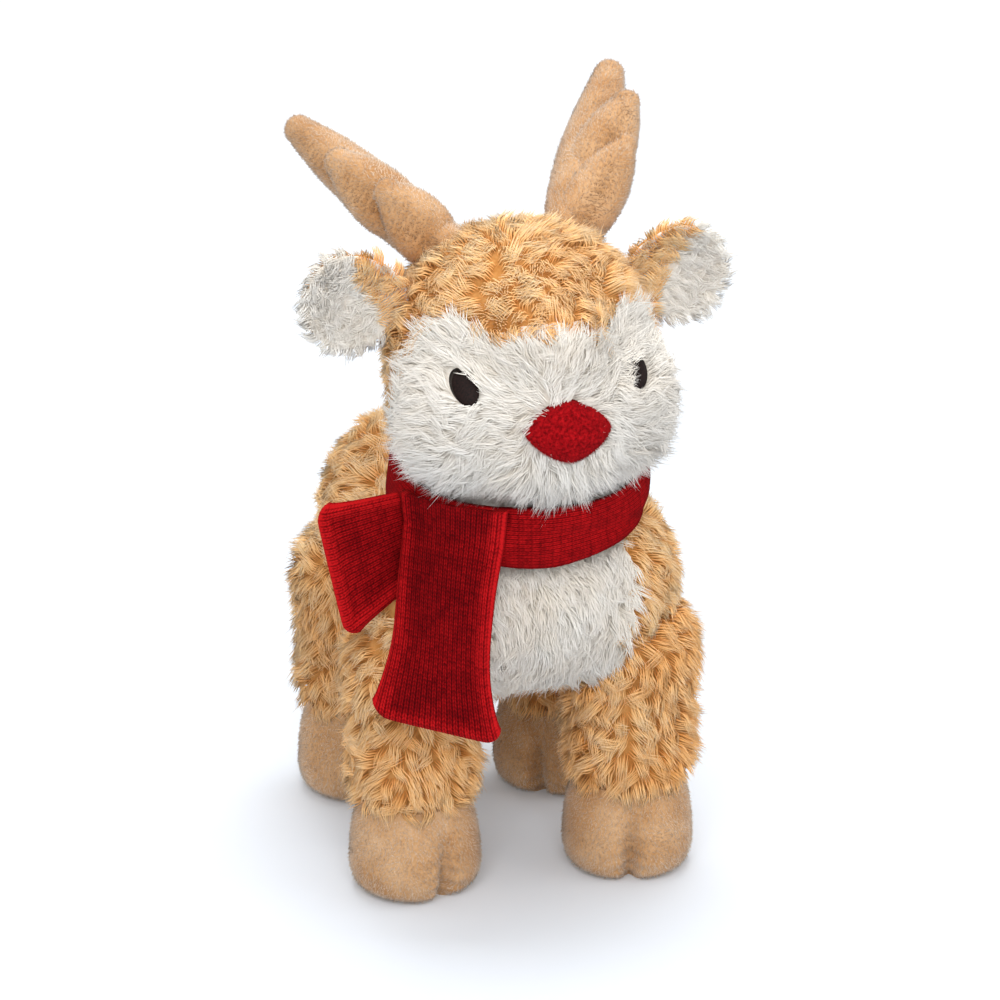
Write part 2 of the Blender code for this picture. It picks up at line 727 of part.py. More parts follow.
def leg_core_profile(grow):
    """Radius and height pairs of a leg's filling, from inside the hoof to the hip."""
    half = HOOF_WIDTH / 2
    radii = [half * share + grow for share in FOOT_CORE_RADIUS_SHARES]
    heights = [HOOF_HEIGHT * share for share in FOOT_CORE_HEIGHT_SHARES]
    pairs = [(half * FOOT_CORE_SOLE_SHARE + grow, SOLE - grow)] + list(zip(radii, heights))
    pairs += [(CUFF_RADIUS - PILE + grow, HOOF_HEIGHT + GAP)]
    return pairs + leg_profile(PILE + GAP - grow)[1:]


def hoof_piece(name, centre, turn_degrees):
    """A cloven hoof: rings with unlike reach in front and behind, notched in front."""
    turn = 2 * np.pi * np.arange(HOOF_COLUMNS) / HOOF_COLUMNS
    ahead, side = np.cos(turn), np.sin(turn)
    from_front = (turn + np.pi) % (2 * np.pi) - np.pi
    notch = np.exp(-((from_front / math.radians(CLEFT_SPREAD_DEGREES)) ** 2))
    yaw = math.radians(turn_degrees)
    rings = []
    rows = zip(HOOF_HEIGHT_SHARES, HOOF_WIDTH_SHARES, HOOF_REACH_SHARES, HOOF_CLEFT_SHARES)
    for height_share, width_share, reach_share, cleft_share in rows:
        reach = np.where(ahead > 0, HOOF_FRONT * reach_share, HOOF_BACK * width_share)
        forward = ahead * reach - notch * CLEFT_DEPTH * cleft_share
        across = side * HOOF_WIDTH / 2 * width_share
        x = across * math.cos(yaw) + forward * math.sin(yaw)
        y = across * math.sin(yaw) - forward * math.cos(yaw)
        z = np.full(HOOF_COLUMNS, HOOF_HEIGHT * height_share)
        rings.append(centre + np.stack((x, y, z), axis=1))
    ends = (rings[0].mean(axis=0), rings[-1].mean(axis=0))
    return solid_from_rings(name, rings, ends, NAP_BEIGE)


def leg_pieces(word, side, end, trunk):
    """A leg: pile cloth cover, hoof and the filling that runs down into the hoof."""
    even_place = np.array((side * LEG_SPREAD / 2, end * LEG_BASE / 2, 0.0))
    centre = even_place + LEG_RADIUS * np.array((*LEG_STEP_SHARES[word], 0.0))
    hem = HOOF_HEIGHT + GAP
    top = HIP_HEIGHT + HIP_RADIUS
    cover = turned_solid(
        word + "_leg_cover", leg_profile(0.0), (hem, top), centre, LEG_COLUMNS, PILE_TAN
    )
    hoof = hoof_piece(word + "_hoof", centre, HOOF_TURN_DEGREES[word])
    core, room = [
        turned_solid(
            word + "_leg_" + core_name,
            leg_core_profile(grow),
            (SOLE - grow, top - PILE + grow - GAP),
            centre,
            LEG_CORE_COLUMNS,
            FILLING_WHITE,
        )
        for core_name, grow in (("stuffing", 0.0), ("core_room", GAP))
    ]
    as_cutter(room)
    carve(cover, room)
    carve(hoof, room)
    pivot = centre + (0.0, 0.0, HIP_HEIGHT)
    play = GAP + facet_slack(HIP_RADIUS, 90 / BALL_STEPS)
    socket = turned_solid(
        word + "_socket",
        leg_profile(-play),
        (hem, top + play),
        centre,
        LEG_COLUMNS,
        PILE_TAN,
        HIP_HEIGHT,
        LEG_SWING_DEGREES,
    )
    as_cutter(socket)
    for piece in trunk:
        carve(piece, socket)
    frame = joint_frame(word + "_hip_axis", pivot)
    carried_by(frame, cover, hoof, core)


def tail_piece(trunk):
    """A short stuffed tail that leaves the rump and points back and up."""
    lift = math.radians(TAIL_LIFT_DEGREES)
    start = TRUNK_MIDDLE + (0.0, 0.0, TAIL_RISE)
    back = np.array(((0.0, 1.0, 0.0),))
    run = skin_distance(start[None], back, TRUNK_LOBES)[0]
    root = start + back[0] * (run - TAIL_SEAT + TAIL_ROOT_RADIUS)
    end = root + np.array((0.0, math.cos(lift), math.sin(lift))) * TAIL_LENGTH / 2
    flat = (np.array((1.0, 0.0, 0.0)), 1.0)
    radii = (TAIL_ROOT_RADIUS, TAIL_RADIUS)
    tail = finger("tail", root, end, radii, flat, False, TAIL_COLUMNS, PILE_TAN)
    swing = math.sin(math.radians(TAIL_SWING_DEGREES)) * TAIL_LENGTH / 2
    play = GAP + facet_slack(TAIL_RADIUS, 360 / TAIL_COLUMNS)
    grown = (TAIL_ROOT_RADIUS + play, TAIL_RADIUS + play + swing)
    room = finger("tail_room", root, end, grown, flat, False, TAIL_COLUMNS, PILE_TAN)
    as_cutter(room)
    for piece in trunk:
        carve(piece, room)
    frame = joint_frame("tail_axis", root)
    carried_by(frame, tail)


def scarf_ring(radius, around_degrees, height):
    """A point of the tilted scarf loop; around is measured from the front to the right."""
    around = math.radians(around_degrees)
    tilt = math.radians(SCARF_TILT_DEGREES)
    flat = np.array((-radius * math.sin(around), -radius * math.cos(around), 0.0))
    rise = flat[1] * math.tan(tilt)
    return NECK_MIDDLE + flat + (0.0, 0.0, rise + height)


def scarf_loop_piece(name, grow, finish, nod=0.0, tilt_play=0.0):
    """The loop of the scarf: a folded band carried round the neck.

    With a nod in degrees it is the room that the loop needs while the head nods: the
    band grows with its distance before or behind the nod's axis. The tilt's play is how
    much higher the room is for the head's turn over the tilted loop."""
    steps, columns = SCARF_FACETS
    turn = 2 * np.pi * np.arange(columns) / columns
    rings = []
    for step in range(steps):
        around = 360 * step / steps
        out = unit(scarf_ring(1.0, around, 0.0) - scarf_ring(0.0, around, 0.0))
        up = np.array((0.0, 0.0, 1.0))
        centre = scarf_ring(SCARF_RADIUS, around, 0.0)
        wide = (SCARF_FOLD / 2 + grow) * np.cos(turn)
        reach = abs(SCARF_RADIUS * math.cos(math.radians(around))) * math.tan(math.radians(nod))
        half = SCARF_BAND / 2 + grow + reach + tilt_play
        high = half * np.sign(np.sin(turn)) * np.abs(np.sin(turn)) ** SCARF_SQUARE_SHARE
        rings.append(centre + out * wide[:, None] + up * high[:, None])
    return solid_from_rings(name, rings, None, finish)


def front_end_piece():
    """The scarf end that hangs in front, waisted in the middle and flared at its hem.

    It lies flat on the loop down to the middle of the band and stands off below it."""
    outer = SCARF_RADIUS + SCARF_FOLD / 2 + GAP + KNIT / 2
    root = scarf_ring(outer, FRONT_END_AROUND_DEGREES, SCARF_BAND / 2)
    shares = np.linspace(0, 1, STRIP_ROWS)
    flat_share = SCARF_BAND / 2 / FRONT_END_LENGTH
    free_shares = np.maximum(0.0, shares - flat_share) / (1 - flat_share)
    facing = np.radians(np.interp(free_shares, (0, 1), FRONT_END_FACING_DEGREES))
    leaving = math.radians(FRONT_END_LEAVING_DEGREES)
    bulge = FRONT_END_BULGE * np.sin(free_shares * np.pi / 2)
    middles = root + np.array((-math.sin(leaving), -math.cos(leaving), 0.0)) * bulge[:, None]
    middles[:, 2] -= FRONT_END_LENGTH * shares
    slant = FRONT_END_SLANT / FRONT_END_HEM * shares
    across = np.stack((np.cos(facing), -np.sin(facing), -slant), axis=1)
    stops = (FRONT_END_HEM, FRONT_END_WAIST, FRONT_END_WAIST, FRONT_END_HEM)
    half_widths = np.interp(shares, FRONT_END_WIDTH_STOP_SHARES, stops) / 2
    bends = FRONT_END_BEND * (1 - free_shares)
    made = strip(
        "scarf_front_end", middles, across, half_widths, bends, KNIT, FRONT_END_ROUND, KNIT_RED
    )
    return made, root


def side_end_piece():
    """The scarf end that leaves the knot sideways, flared towards its hem."""
    root = scarf_ring(SCARF_RADIUS + SCARF_FOLD / 2, SIDE_END_AROUND_DEGREES, SIDE_END_RISE)
    droop = math.radians(SIDE_END_DROOP_DEGREES)
    lean = math.radians(SIDE_END_LEAN_DEGREES)
    run = np.array((-math.cos(droop), 0.0, -math.sin(droop)))
    shares = np.linspace(0, 1, STRIP_ROWS // 2)
    middles = root + run * (SIDE_END_LENGTH * shares)[:, None]
    forward = SIDE_END_FORWARD_SHARE * math.sin(lean)
    side = unit((math.sin(lean), -forward, -math.cos(lean)))
    across = np.tile(side, (len(shares), 1))
    half_widths = np.interp(shares, (0, 1), (SIDE_END_WAIST, SIDE_END_HEM)) / 2
    flat = 0 * shares
    made = strip(
        "scarf_side_end", middles, across, half_widths, flat, KNIT, SIDE_END_ROUND, KNIT_RED
    )
    return made, root


def scarf_pieces(trunk_lobes):
    """The scarf: its loop on the shoulders and its two ends."""
    loop = scarf_loop_piece("scarf_loop", 0.0, KNIT_RED)
    shoulders = lobed_ball("shoulders", trunk_lobes, TRUNK_MIDDLE, TRUNK_FACETS, GAP, PILE_TAN)
    carve(loop, as_cutter(shoulders))
    clear = lobed_ball("side_end_room", trunk_lobes, TRUNK_MIDDLE, TRUNK_FACETS, KNIT, PILE_TAN)
    as_cutter(clear)
    for build in (front_end_piece, side_end_piece):
        end, pivot = build()
        if build is side_end_piece:
            carve(end, clear)
        frame = joint_frame(end.name + "_axis", pivot)
        carried_by(frame, end)


def collar_room(head):
    """Cut the head free of the scarf loop over the whole range of its nod."""
    tilt = math.tan(math.radians(SCARF_TILT_DEGREES))
    tilt_play = SCARF_RADIUS * tilt * math.sin(math.radians(HEAD_TURN_DEGREES))
    room = scarf_loop_piece("collar_room", KNIT + 2 * GAP, KNIT_RED, HEAD_NOD_DEGREES, tilt_play)
    as_cutter(room)
    for piece in head:
        carve(piece, room)


def main():
    clear_scene()
    trunk = trunk_pieces()
    head = head_pieces()
    neck_pieces(trunk.values(), head.values())
    shells = (head["head_cover"], head["face_panel"])
    collar_room(head.values())
    nose = nose_piece()
    eyes = eye_pieces(head["face_panel"])
    for word, side in (("left", 1), ("right", -1)):
        ear_pieces(word, side, shells)
        antler_pieces(word, side, (head["head_cover"], head["head_stuffing"]))
    for end_word, end in (("front", -1), ("rear", 1)):
        for side_word, side in (("left", 1), ("right", -1)):
            leg_pieces(end_word + "_" + side_word, side, end, trunk.values())
    tail_piece((trunk["body_cover"], trunk["body_stuffing"]))
    scarf_pieces(TRUNK_LOBES)
    nod = joint_frame("head_nod_axis", NECK_MIDDLE)
    carried_by(nod, *head.values(), nose, *eyes.values())


main()
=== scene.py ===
# %% [markdown]
# # A plush deer with a knitted scarf
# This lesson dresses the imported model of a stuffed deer. The model gives the places and the
# sizes; here every soft piece gets its cloth, its pile and its stitches. All lengths are in
# metres, the deer faces -Y, and its own left side is +X.

import json
import math

import bpy
import numpy as np
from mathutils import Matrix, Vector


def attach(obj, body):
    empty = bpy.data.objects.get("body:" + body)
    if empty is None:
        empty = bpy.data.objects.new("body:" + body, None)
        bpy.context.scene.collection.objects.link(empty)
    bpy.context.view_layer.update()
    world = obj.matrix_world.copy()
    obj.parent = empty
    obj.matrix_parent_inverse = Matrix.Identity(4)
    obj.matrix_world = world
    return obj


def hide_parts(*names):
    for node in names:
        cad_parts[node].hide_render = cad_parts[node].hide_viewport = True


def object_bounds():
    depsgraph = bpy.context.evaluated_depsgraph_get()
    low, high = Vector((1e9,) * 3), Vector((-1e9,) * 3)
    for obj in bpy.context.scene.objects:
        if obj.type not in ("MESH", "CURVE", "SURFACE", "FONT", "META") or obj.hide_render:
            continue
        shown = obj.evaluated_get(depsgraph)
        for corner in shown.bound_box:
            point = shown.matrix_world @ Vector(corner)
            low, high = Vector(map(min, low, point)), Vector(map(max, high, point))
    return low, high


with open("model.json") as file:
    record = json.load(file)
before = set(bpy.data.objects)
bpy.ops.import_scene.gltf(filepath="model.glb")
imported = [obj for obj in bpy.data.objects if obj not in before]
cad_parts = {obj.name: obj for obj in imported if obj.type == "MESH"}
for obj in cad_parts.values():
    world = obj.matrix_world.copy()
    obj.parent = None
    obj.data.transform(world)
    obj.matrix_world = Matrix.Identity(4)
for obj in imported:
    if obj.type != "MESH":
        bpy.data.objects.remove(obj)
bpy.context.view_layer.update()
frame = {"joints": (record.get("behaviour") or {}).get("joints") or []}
PIVOTS = {joint["name"]: np.array(joint["pos_m"]) for joint in frame["joints"]}

# %% [markdown]
# ## The camera
# The toy was photographed from a little to its right and from above, with a long lens from
# about a metre and a half. A long lens keeps the head from looking swollen. The camera is
# placed by two angles and a distance, and aimed at a point that centres the toy.

# %% Camera
AZIMUTH_DEGREES = -17.5
ELEVATION_DEGREES = 20.5
CAMERA_DISTANCE = 1.6
AIM_RIGHT = 0.004
AIM_UP = 0.1304
SENSOR_WIDTH_MM = 36.0
VIEW_WIDTH = 0.4

azimuth = math.radians(AZIMUTH_DEGREES)
elevation = math.radians(ELEVATION_DEGREES)
VIEW_RIGHT = np.array((math.cos(azimuth), math.sin(azimuth), 0.0))
VIEW_BACK = np.array((
    math.sin(azimuth) * math.cos(elevation),
    -math.cos(azimuth) * math.cos(elevation),
    math.sin(elevation),
))
VIEW_UP = np.cross(VIEW_BACK, VIEW_RIGHT)
camera_data = bpy.data.cameras.new("camera")
camera_data.sensor_width = SENSOR_WIDTH_MM
camera_data.lens = SENSOR_WIDTH_MM * CAMERA_DISTANCE / VIEW_WIDTH
camera = bpy.data.objects.new("camera", camera_data)
bpy.context.scene.collection.objects.link(camera)
camera.rotation_euler = (math.pi / 2 - elevation, 0.0, azimuth)
camera.location = VIEW_RIGHT * AIM_RIGHT + VIEW_UP * AIM_UP + VIEW_BACK * CAMERA_DISTANCE
bpy.context.scene.camera = camera
bpy.context.scene.view_settings.view_transform = "Standard"
print("lens", round(camera_data.lens), "mm")

# %% [markdown]
# ## Two small tools for materials
# Colours are written as they look on a screen, in hex, and the renderer wants linear light,
# so one function turns one into the other. Another adds a node with its settings and links;
# every material below is built with it.

# %% Colour and node helpers
LINEAR_END = 0.04045


def linear(hex_colour):
    """An sRGB hex colour as linear red, green, blue and 1."""
    share = np.array([int(hex_colour[i:i + 2], 16) for i in (1, 3, 5)]) / 255
    low = share / 12.92
    high = ((share + 0.055) / 1.055) ** 2.4
    return (*np.where(share <= LINEAR_END, low, high), 1.0)


def add(tree, kind, settings=None, links=None, stops=None):
    """Add a node: settings name properties or inputs, links name inputs and their sources."""
    node = tree.nodes.new(kind)
    for key, value in (settings or {}).items():
        if isinstance(key, str) and hasattr(node, key):
            setattr(node, key, value)
        else:
            node.inputs[key].default_value = value
    for key, source in (links or {}).items():
        tree.links.new(source, node.inputs[key])
    if stops:
        elements = node.color_ramp.elements
        while len(elements) < len(stops):
            elements.new(0.5)
        for element, (place, colour) in zip(elements, stops):
            element.position = place
            element.color = linear(colour)
    return node


def new_material(name):
    """An empty node material and its output."""
    material = bpy.data.materials.new(name)
    material.use_nodes = True
    material.node_tree.nodes.clear()
    return material, add(material.node_tree, "ShaderNodeOutputMaterial")


# %% [markdown]
# ## Floor and light
# The toy stands on a white sweep, under one broad soft light from its right front and a
# fill from the other side. Nothing here is part of the toy.
# The camera sees the floor and the world as white, and the floor still takes the shadow.

# %% Floor, lamps and world
FLOOR_SIZE = 6.0
GLOW_NEAR_FAR = (0.3, 1.6, 0.05, 0.35)
WORLD_STRENGTH = 0.74
KEY_POWER = 16.0
FILL_POWER = 5.0
TOP_POWER = 17.0


def studio_floor():
    """A wide plane that glows a little for the camera, more so far from the toy.

    The glow goes from the third number of its tuple, at the first distance, to the fourth."""
    half = FLOOR_SIZE / 2
    mesh = bpy.data.meshes.new("studio_floor")
    corners = [(-half, -half, 0), (half, -half, 0), (half, half, 0), (-half, half, 0)]
    mesh.from_pydata(corners, [], [(0, 1, 2, 3)])
    floor = bpy.data.objects.new("studio_floor", mesh)
    bpy.context.scene.collection.objects.link(floor)
    material, output = new_material("white_paper_sweep")
    tree = material.node_tree
    paper = add(tree, "ShaderNodeBsdfDiffuse", {"Color": linear("#DEE5EE")})
    spot = add(tree, "ShaderNodeTexCoord")
    far = add(tree, "ShaderNodeVectorMath", {"operation": "LENGTH"}, {0: spot.outputs["Object"]})
    rise = add(tree, "ShaderNodeMapRange", dict(enumerate(GLOW_NEAR_FAR, 1)),
               {0: far.outputs["Value"]})
    glow = add(tree, "ShaderNodeEmission", {"Color": linear("#FFFFFF")},
               {"Strength": rise.outputs[0]})
    both = add(tree, "ShaderNodeAddShader", links={0: paper.outputs[0], 1: glow.outputs[0]})
    path = add(tree, "ShaderNodeLightPath")
    shown = add(tree, "ShaderNodeMixShader", links={
        0: path.outputs["Is Camera Ray"], 1: paper.outputs[0], 2: both.outputs[0]})
    tree.links.new(shown.outputs[0], output.inputs["Surface"])
    mesh.materials.append(material)


def soft_light(name, place, size, power):
    """A square lamp that looks at the toy's middle."""
    data = bpy.data.lights.new(name, "AREA")
    data.size = size
    data.energy = power
    lamp = bpy.data.objects.new(name, data)
    bpy.context.scene.collection.objects.link(lamp)
    lamp.location = place
    aim = CAD_BOX_MIDDLE - lamp.location
    lamp.rotation_euler = aim.to_track_quat("-Z", "Y").to_euler()


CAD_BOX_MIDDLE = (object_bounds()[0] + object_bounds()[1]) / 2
studio_floor()
soft_light("key_light", (-0.5, -1.4, 1.2), 1.0, KEY_POWER)
soft_light("fill_light", (1.3, -0.9, 0.7), 1.2, FILL_POWER)
soft_light("top_light", (0.1, 0.3, 1.8), 0.9, TOP_POWER)
world = bpy.data.worlds.new("studio")
bpy.context.scene.world = world
world.use_nodes = True
world_tree = world.node_tree
world_tree.nodes.clear()
dim = add(world_tree, "ShaderNodeBackground",
          {"Color": linear("#FFFDFA"), "Strength": WORLD_STRENGTH})
white = add(world_tree, "ShaderNodeBackground", {"Color": linear("#FFFFFF"), "Strength": 1.0})
world_path = add(world_tree, "ShaderNodeLightPath")
world_mix = add(world_tree, "ShaderNodeMixShader", links={
    0: world_path.outputs["Is Camera Ray"], 1: dim.outputs[0], 2: white.outputs[0]})
add(world_tree, "ShaderNodeOutputWorld", links={"Surface": world_mix.outputs[0]})
print("studio ready")

# %% [markdown]
# ## Surfaces on a grid
# Every form here is a grid of points: rows run from one end to the other and columns run
# round. From such a grid come the mesh, the normals and, later, the places where the pile
# grows. A closed form has a point at each end, its pole.

# %% Grids, normals and meshes
def unit(vectors):
    """Vectors at length one."""
    return vectors / np.linalg.norm(vectors, axis=-1, keepdims=True)


def grid_normals(grid):
    """Outward normals: the cross product of the steps round and along the grid."""
    along = np.gradient(grid, axis=0)
    around = np.roll(grid, -1, axis=1) - np.roll(grid, 1, axis=1)
    normals = np.cross(around, along)
    lengths = np.linalg.norm(normals, axis=-1, keepdims=True)
    return normals / np.maximum(lengths, 1e-12)


def finish_mesh(name, points, loops, sizes, material, uv=None):
    """Put arrays of points, corners and face sizes into a new smooth mesh object."""
    mesh = bpy.data.meshes.new(name)
    mesh.vertices.add(len(points))
    mesh.vertices.foreach_set("co", points.astype(np.float32).ravel())
    mesh.loops.add(len(loops))
    mesh.loops.foreach_set("vertex_index", loops.astype(np.int32))
    mesh.polygons.add(len(sizes))
    starts = np.concatenate(([0], np.cumsum(sizes)[:-1]))
    mesh.polygons.foreach_set("loop_start", starts.astype(np.int32))
    if uv is not None:
        layer = mesh.uv_layers.new(name="OFBake")
        layer.data.foreach_set("uv", uv[loops].astype(np.float32).ravel())
    mesh.update(calc_edges=True)
    mesh.shade_smooth()
    mesh.materials.append(material)
    made = bpy.data.objects.new(name, mesh)
    bpy.context.scene.collection.objects.link(made)
    return made


def closed_form(name, grid, poles, material):
    """A mesh over a grid whose columns close round, with a fan of triangles at each pole."""
    rows, columns = grid.shape[:2]
    cell = np.arange(rows * columns).reshape(rows, columns)
    after = np.roll(cell, -1, axis=1)
    quads = np.stack((cell[:-1], after[:-1], after[1:], cell[1:]), axis=-1).reshape(-1, 4)
    first, last = rows * columns, rows * columns + 1
    low = np.stack((np.full(columns, first), after[0], cell[0]), axis=1)
    high = np.stack((np.full(columns, last), cell[-1], after[-1]), axis=1)
    points = np.vstack((grid.reshape(-1, 3), poles))
    loops = np.concatenate((quads.ravel(), low.ravel(), high.ravel()))
    sizes = np.concatenate((np.full(len(quads), 4), np.full(2 * columns, 3)))
    return finish_mesh(name, points, loops, sizes, material)


# %% [markdown]
# ## The stuffed forms
# Trunk and head are soft lobes melted into one skin. Each lobe is an egg, with a level that
# is 1 on its own skin. The levels are joined as a power sum, which rounds the valleys. Along
# a ray from the middle the skin lies where that sum is 1, and halving finds it.

# %% Melted lobes
MELT = 16
HALVINGS = 30
TRUNK_MIDDLE = PIVOTS["head_turn"] + (0.0, 0.036, -0.040)
TRUNK_HALF = np.array((0.059, 0.077, 0.044))
TRUNK_LOBE_SHARES = (
    (0.0, 0.0, -0.05, 0.93, 0.93, 0.93),
    (0.45, -0.50, -0.05, 0.62, 0.47, 0.95),
    (0.28, 0.52, 0.10, 0.70, 0.50, 0.96),
    (0.0, -0.56, 0.0, 0.62, 0.45, 0.86),
)
BIB_MIDDLE = TRUNK_MIDDLE + (0.0, -0.086, 0.0)
BIB_HALF = np.array((0.039, 0.042, 0.046))
BIB_LOBE_SHARES = (
    (0.0, 0.0, 0.22, 1.0, 1.0, 0.80),
    (0.0, 0.0, -0.42, 0.92, 0.95, 0.62),
)
HEAD_MIDDLE = PIVOTS["head_nod"] + (0.0, -0.009, 0.056)
HEAD_HALF = np.array((0.054, 0.0535, 0.050))
HEAD_LOBE_SHARES = (
    (0.0, 0.19, -0.04, 0.97, 0.88, 0.96),
    (0.22, 0.16, 0.26, 0.55, 0.62, 0.58),
    (0.44, -0.18, -0.40, 0.58, 0.58, 0.58),
    (0.0, -0.41, -0.39, 0.64, 0.58, 0.63),
    (0.0, -0.34, 0.10, 0.45, 0.60, 0.54),
)


def lobe_table(shares, middle, half):
    """Centres and radii; a lobe beside the middle plane has its mirror image."""
    rows = list(shares) + [(-row[0], *row[1:]) for row in shares if row[0]]
    table = np.array(rows)
    return middle + table[:, :3] * half, table[:, 3:] * half


def lobe_sum(points, table):
    """Above 1 inside the melted lobes and below 1 outside."""
    centres, radii = table
    total = 0
    for centre, radius in zip(centres, radii):
        level = np.linalg.norm((points - centre) / radius, axis=-1)
        total = total + np.maximum(level, 1 / MELT) ** -MELT
    return total


def skin_reach(start, directions, table):
    """Distance from the start to the melted skin along each direction, by halving."""
    near = np.zeros(directions.shape[:-1])
    far = near + np.abs(table[0] - start).max() + 2 * table[1].max()
    for _ in range(HALVINGS):
        middle = (near + far) / 2
        inside = lobe_sum(start + directions * middle[..., None], table) > 1
        near = np.where(inside, middle, near)
        far = np.where(inside, far, middle)
    return near


def ball_directions(rows, columns):
    """Unit directions in rings from the lower pole to the upper one."""
    polar = -np.pi / 2 + np.pi * np.arange(1, rows) / rows
    turn = 2 * np.pi * np.arange(columns) / columns
    polar, turn = np.meshgrid(polar, turn, indexing="ij")
    flat = np.cos(polar)
    return np.stack((flat * np.cos(turn), flat * np.sin(turn), np.sin(polar)), axis=-1)


def lobed_grid(table, middle, depth, rows=56, columns=104):
    """The melted skin, sunk by a depth, as a grid from pole to pole, and its two poles."""
    directions = ball_directions(rows, columns)
    grid = middle + directions * (skin_reach(middle, directions, table) - depth)[..., None]
    ends = np.array(((0.0, 0.0, -1.0), (0.0, 0.0, 1.0)))
    poles = middle + ends * (skin_reach(middle, ends, table) - depth)[:, None]
    return grid, poles


TRUNK = lobe_table(TRUNK_LOBE_SHARES, TRUNK_MIDDLE, TRUNK_HALF)
BIB = lobe_table(BIB_LOBE_SHARES, BIB_MIDDLE, BIB_HALF)
HEAD = lobe_table(HEAD_LOBE_SHARES, HEAD_MIDDLE, HEAD_HALF)
print("trunk and head are ready")

# %% [markdown]
# ## What pile cloth is
# The tan cloth is rosette plush: its long pile is set in little tufts that lie this way and
# that, dark at the root and pale at the tip. The cream cloth has a longer, straighter pile.
# Painted bumps would look flat at the outline, so every tuft is real here: a bundle of fine
# tapered strands with three sides, closed at both ends. A strand is a root ring, a middle
# ring and a point, ten triangles in all.

# %% Strands
GOLDEN_ANGLE = math.pi * (3 - math.sqrt(5))
SHADE_WIDTH = 0.004
TUBE_LIGHT_SHARE = 0.16


def strand_mesh(name, paths, widths, shades, material, outward):
    """Closed three-sided strands along paths, the last point of each being its tip.

    Paths has one row of points for each strand. A ring at each point but the last stands
    square to the strand. In the strand's own map u runs from root to tip and v is its shade."""
    count, points = paths.shape[:2]
    rings = points - 1
    run = unit(paths[:, -1] - paths[:, 0])
    helper = np.where(np.abs(run[:, 2:]) < 0.9, (0.0, 0.0, 1.0), (1.0, 0.0, 0.0))
    side = unit(np.cross(run, helper))
    other = np.cross(run, side)
    turn = 2 * np.pi * np.arange(3) / 3
    round_it = side[:, None] * np.cos(turn)[:, None] + other[:, None] * np.sin(turn)[:, None]
    width = np.asarray(widths)[..., None, None]
    ring = paths[:, :-1, None] + round_it[:, None] * width / 2
    vertices = np.concatenate((ring.reshape(count, rings * 3, 3), paths[:, -1:]), axis=1)
    base = np.array((2, 1, 0))
    column = np.arange(3)
    after = (column + 1) % 3
    bands = [
        np.stack((column, after, after + 3, column + 3), axis=1) + 3 * row
        for row in range(rings - 1)
    ]
    top = 3 * (rings - 1)
    tip = np.stack((top + column, top + after, np.full(3, 3 * rings)), axis=1)
    pattern = np.concatenate([base] + [band.ravel() for band in bands] + [tip.ravel()])
    sizes = np.array([3] + [4] * (3 * (rings - 1)) + [3] * 3)
    per_strand = 3 * rings + 1
    loops = (pattern + per_strand * np.arange(count)[:, None]).ravel()
    along = np.append(np.repeat(np.arange(rings) / rings, 3), 1.0)
    across = np.append(np.tile((-1.0, 0.0, 1.0), rings), 0.0)
    uv = np.empty((count, per_strand, 2))
    uv[..., 0] = along
    uv[..., 1] = shades[:, None] + across * SHADE_WIDTH
    made = finish_mesh(
        name, vertices.reshape(-1, 3), loops, np.tile(sizes, count), material, uv.reshape(-1, 2)
    )
    tube = np.tile(round_it, (1, rings, 1, 1)).reshape(count, rings * 3, 3)
    tube = np.concatenate((tube, run[:, None]), axis=1)
    lit = unit(outward[:, None] + TUBE_LIGHT_SHARE * tube)
    made.data.normals_split_custom_set_from_vertices(lit.reshape(-1, 3).astype(np.float32))
    return made


# %% [markdown]
# ## Where tufts grow
# A tuft needs a place on the cloth, the direction that points out of the cloth there, and
# the direction in which the pile is brushed. Places are spread evenly by area: the sums of
# the grid's cell areas turn a steady two-number sequence into places, so there are no
# crowded rows at the poles.

# %% Even places on a grid, and brushed directions
SEQUENCE = np.array((0.7548776662466927, 0.5698402909980532))


def even_places(grid, spacing, seed=0.0):
    """Even places and normals on a grid that closes round, one to each spacing squared."""
    wrapped = np.concatenate((grid, grid[:, :1]), axis=1)
    step_along = wrapped[1:, :-1] - wrapped[:-1, :-1]
    step_round = wrapped[:-1, 1:] - wrapped[:-1, :-1]
    areas = np.linalg.norm(np.cross(step_along, step_round), axis=-1)
    count = int(areas.sum() / spacing**2)
    shares = (seed + 0.5 + np.arange(count)[:, None] * SEQUENCE) % 1
    row_ends = np.cumsum(areas.sum(axis=1)) / areas.sum()
    row_place = np.interp(shares[:, 0], np.append(0.0, row_ends), np.arange(len(row_ends) + 1))
    row = np.minimum(row_place.astype(int), len(areas) - 1)
    column_ends = np.cumsum(areas, axis=1) / areas.sum(axis=1, keepdims=True)
    column = (column_ends[row] < shares[:, 1:]).sum(axis=1)
    column = np.minimum(column, areas.shape[1] - 1)
    before = np.where(column > 0, column_ends[row, column - 1], 0.0)
    part = (shares[:, 1] - before) / np.maximum(column_ends[row, column] - before, 1e-9)
    a = (row_place - row)[:, None]
    b = np.clip(part, 0, 1)[:, None]
    normals = grid_normals(grid)
    normals = np.concatenate((normals, normals[:, :1]), axis=1)

    def blend(table):
        low = table[row, column] * (1 - b) + table[row, column + 1] * b
        high = table[row + 1, column] * (1 - b) + table[row + 1, column + 1] * b
        return low * (1 - a) + high * a

    return blend(wrapped), unit(blend(normals))


def ripple(points, wavelength, seed):
    """A smooth uneven field between about -1 and 1: the mean of five slanting waves."""
    chance = np.random.default_rng(seed)
    total = 0
    for _ in range(5):
        heading = unit(chance.normal(size=3)) * 2 * np.pi / (wavelength * chance.uniform(0.7, 1.5))
        total = total + np.sin(points @ heading + chance.uniform(0, 2 * np.pi))
    return total / 2.5


def ripples(points, wavelength, seed):
    """Three ripples as a vector for each point, with this seed and the next two."""
    return np.stack([ripple(points, wavelength, seed + k) for k in range(3)], axis=1)


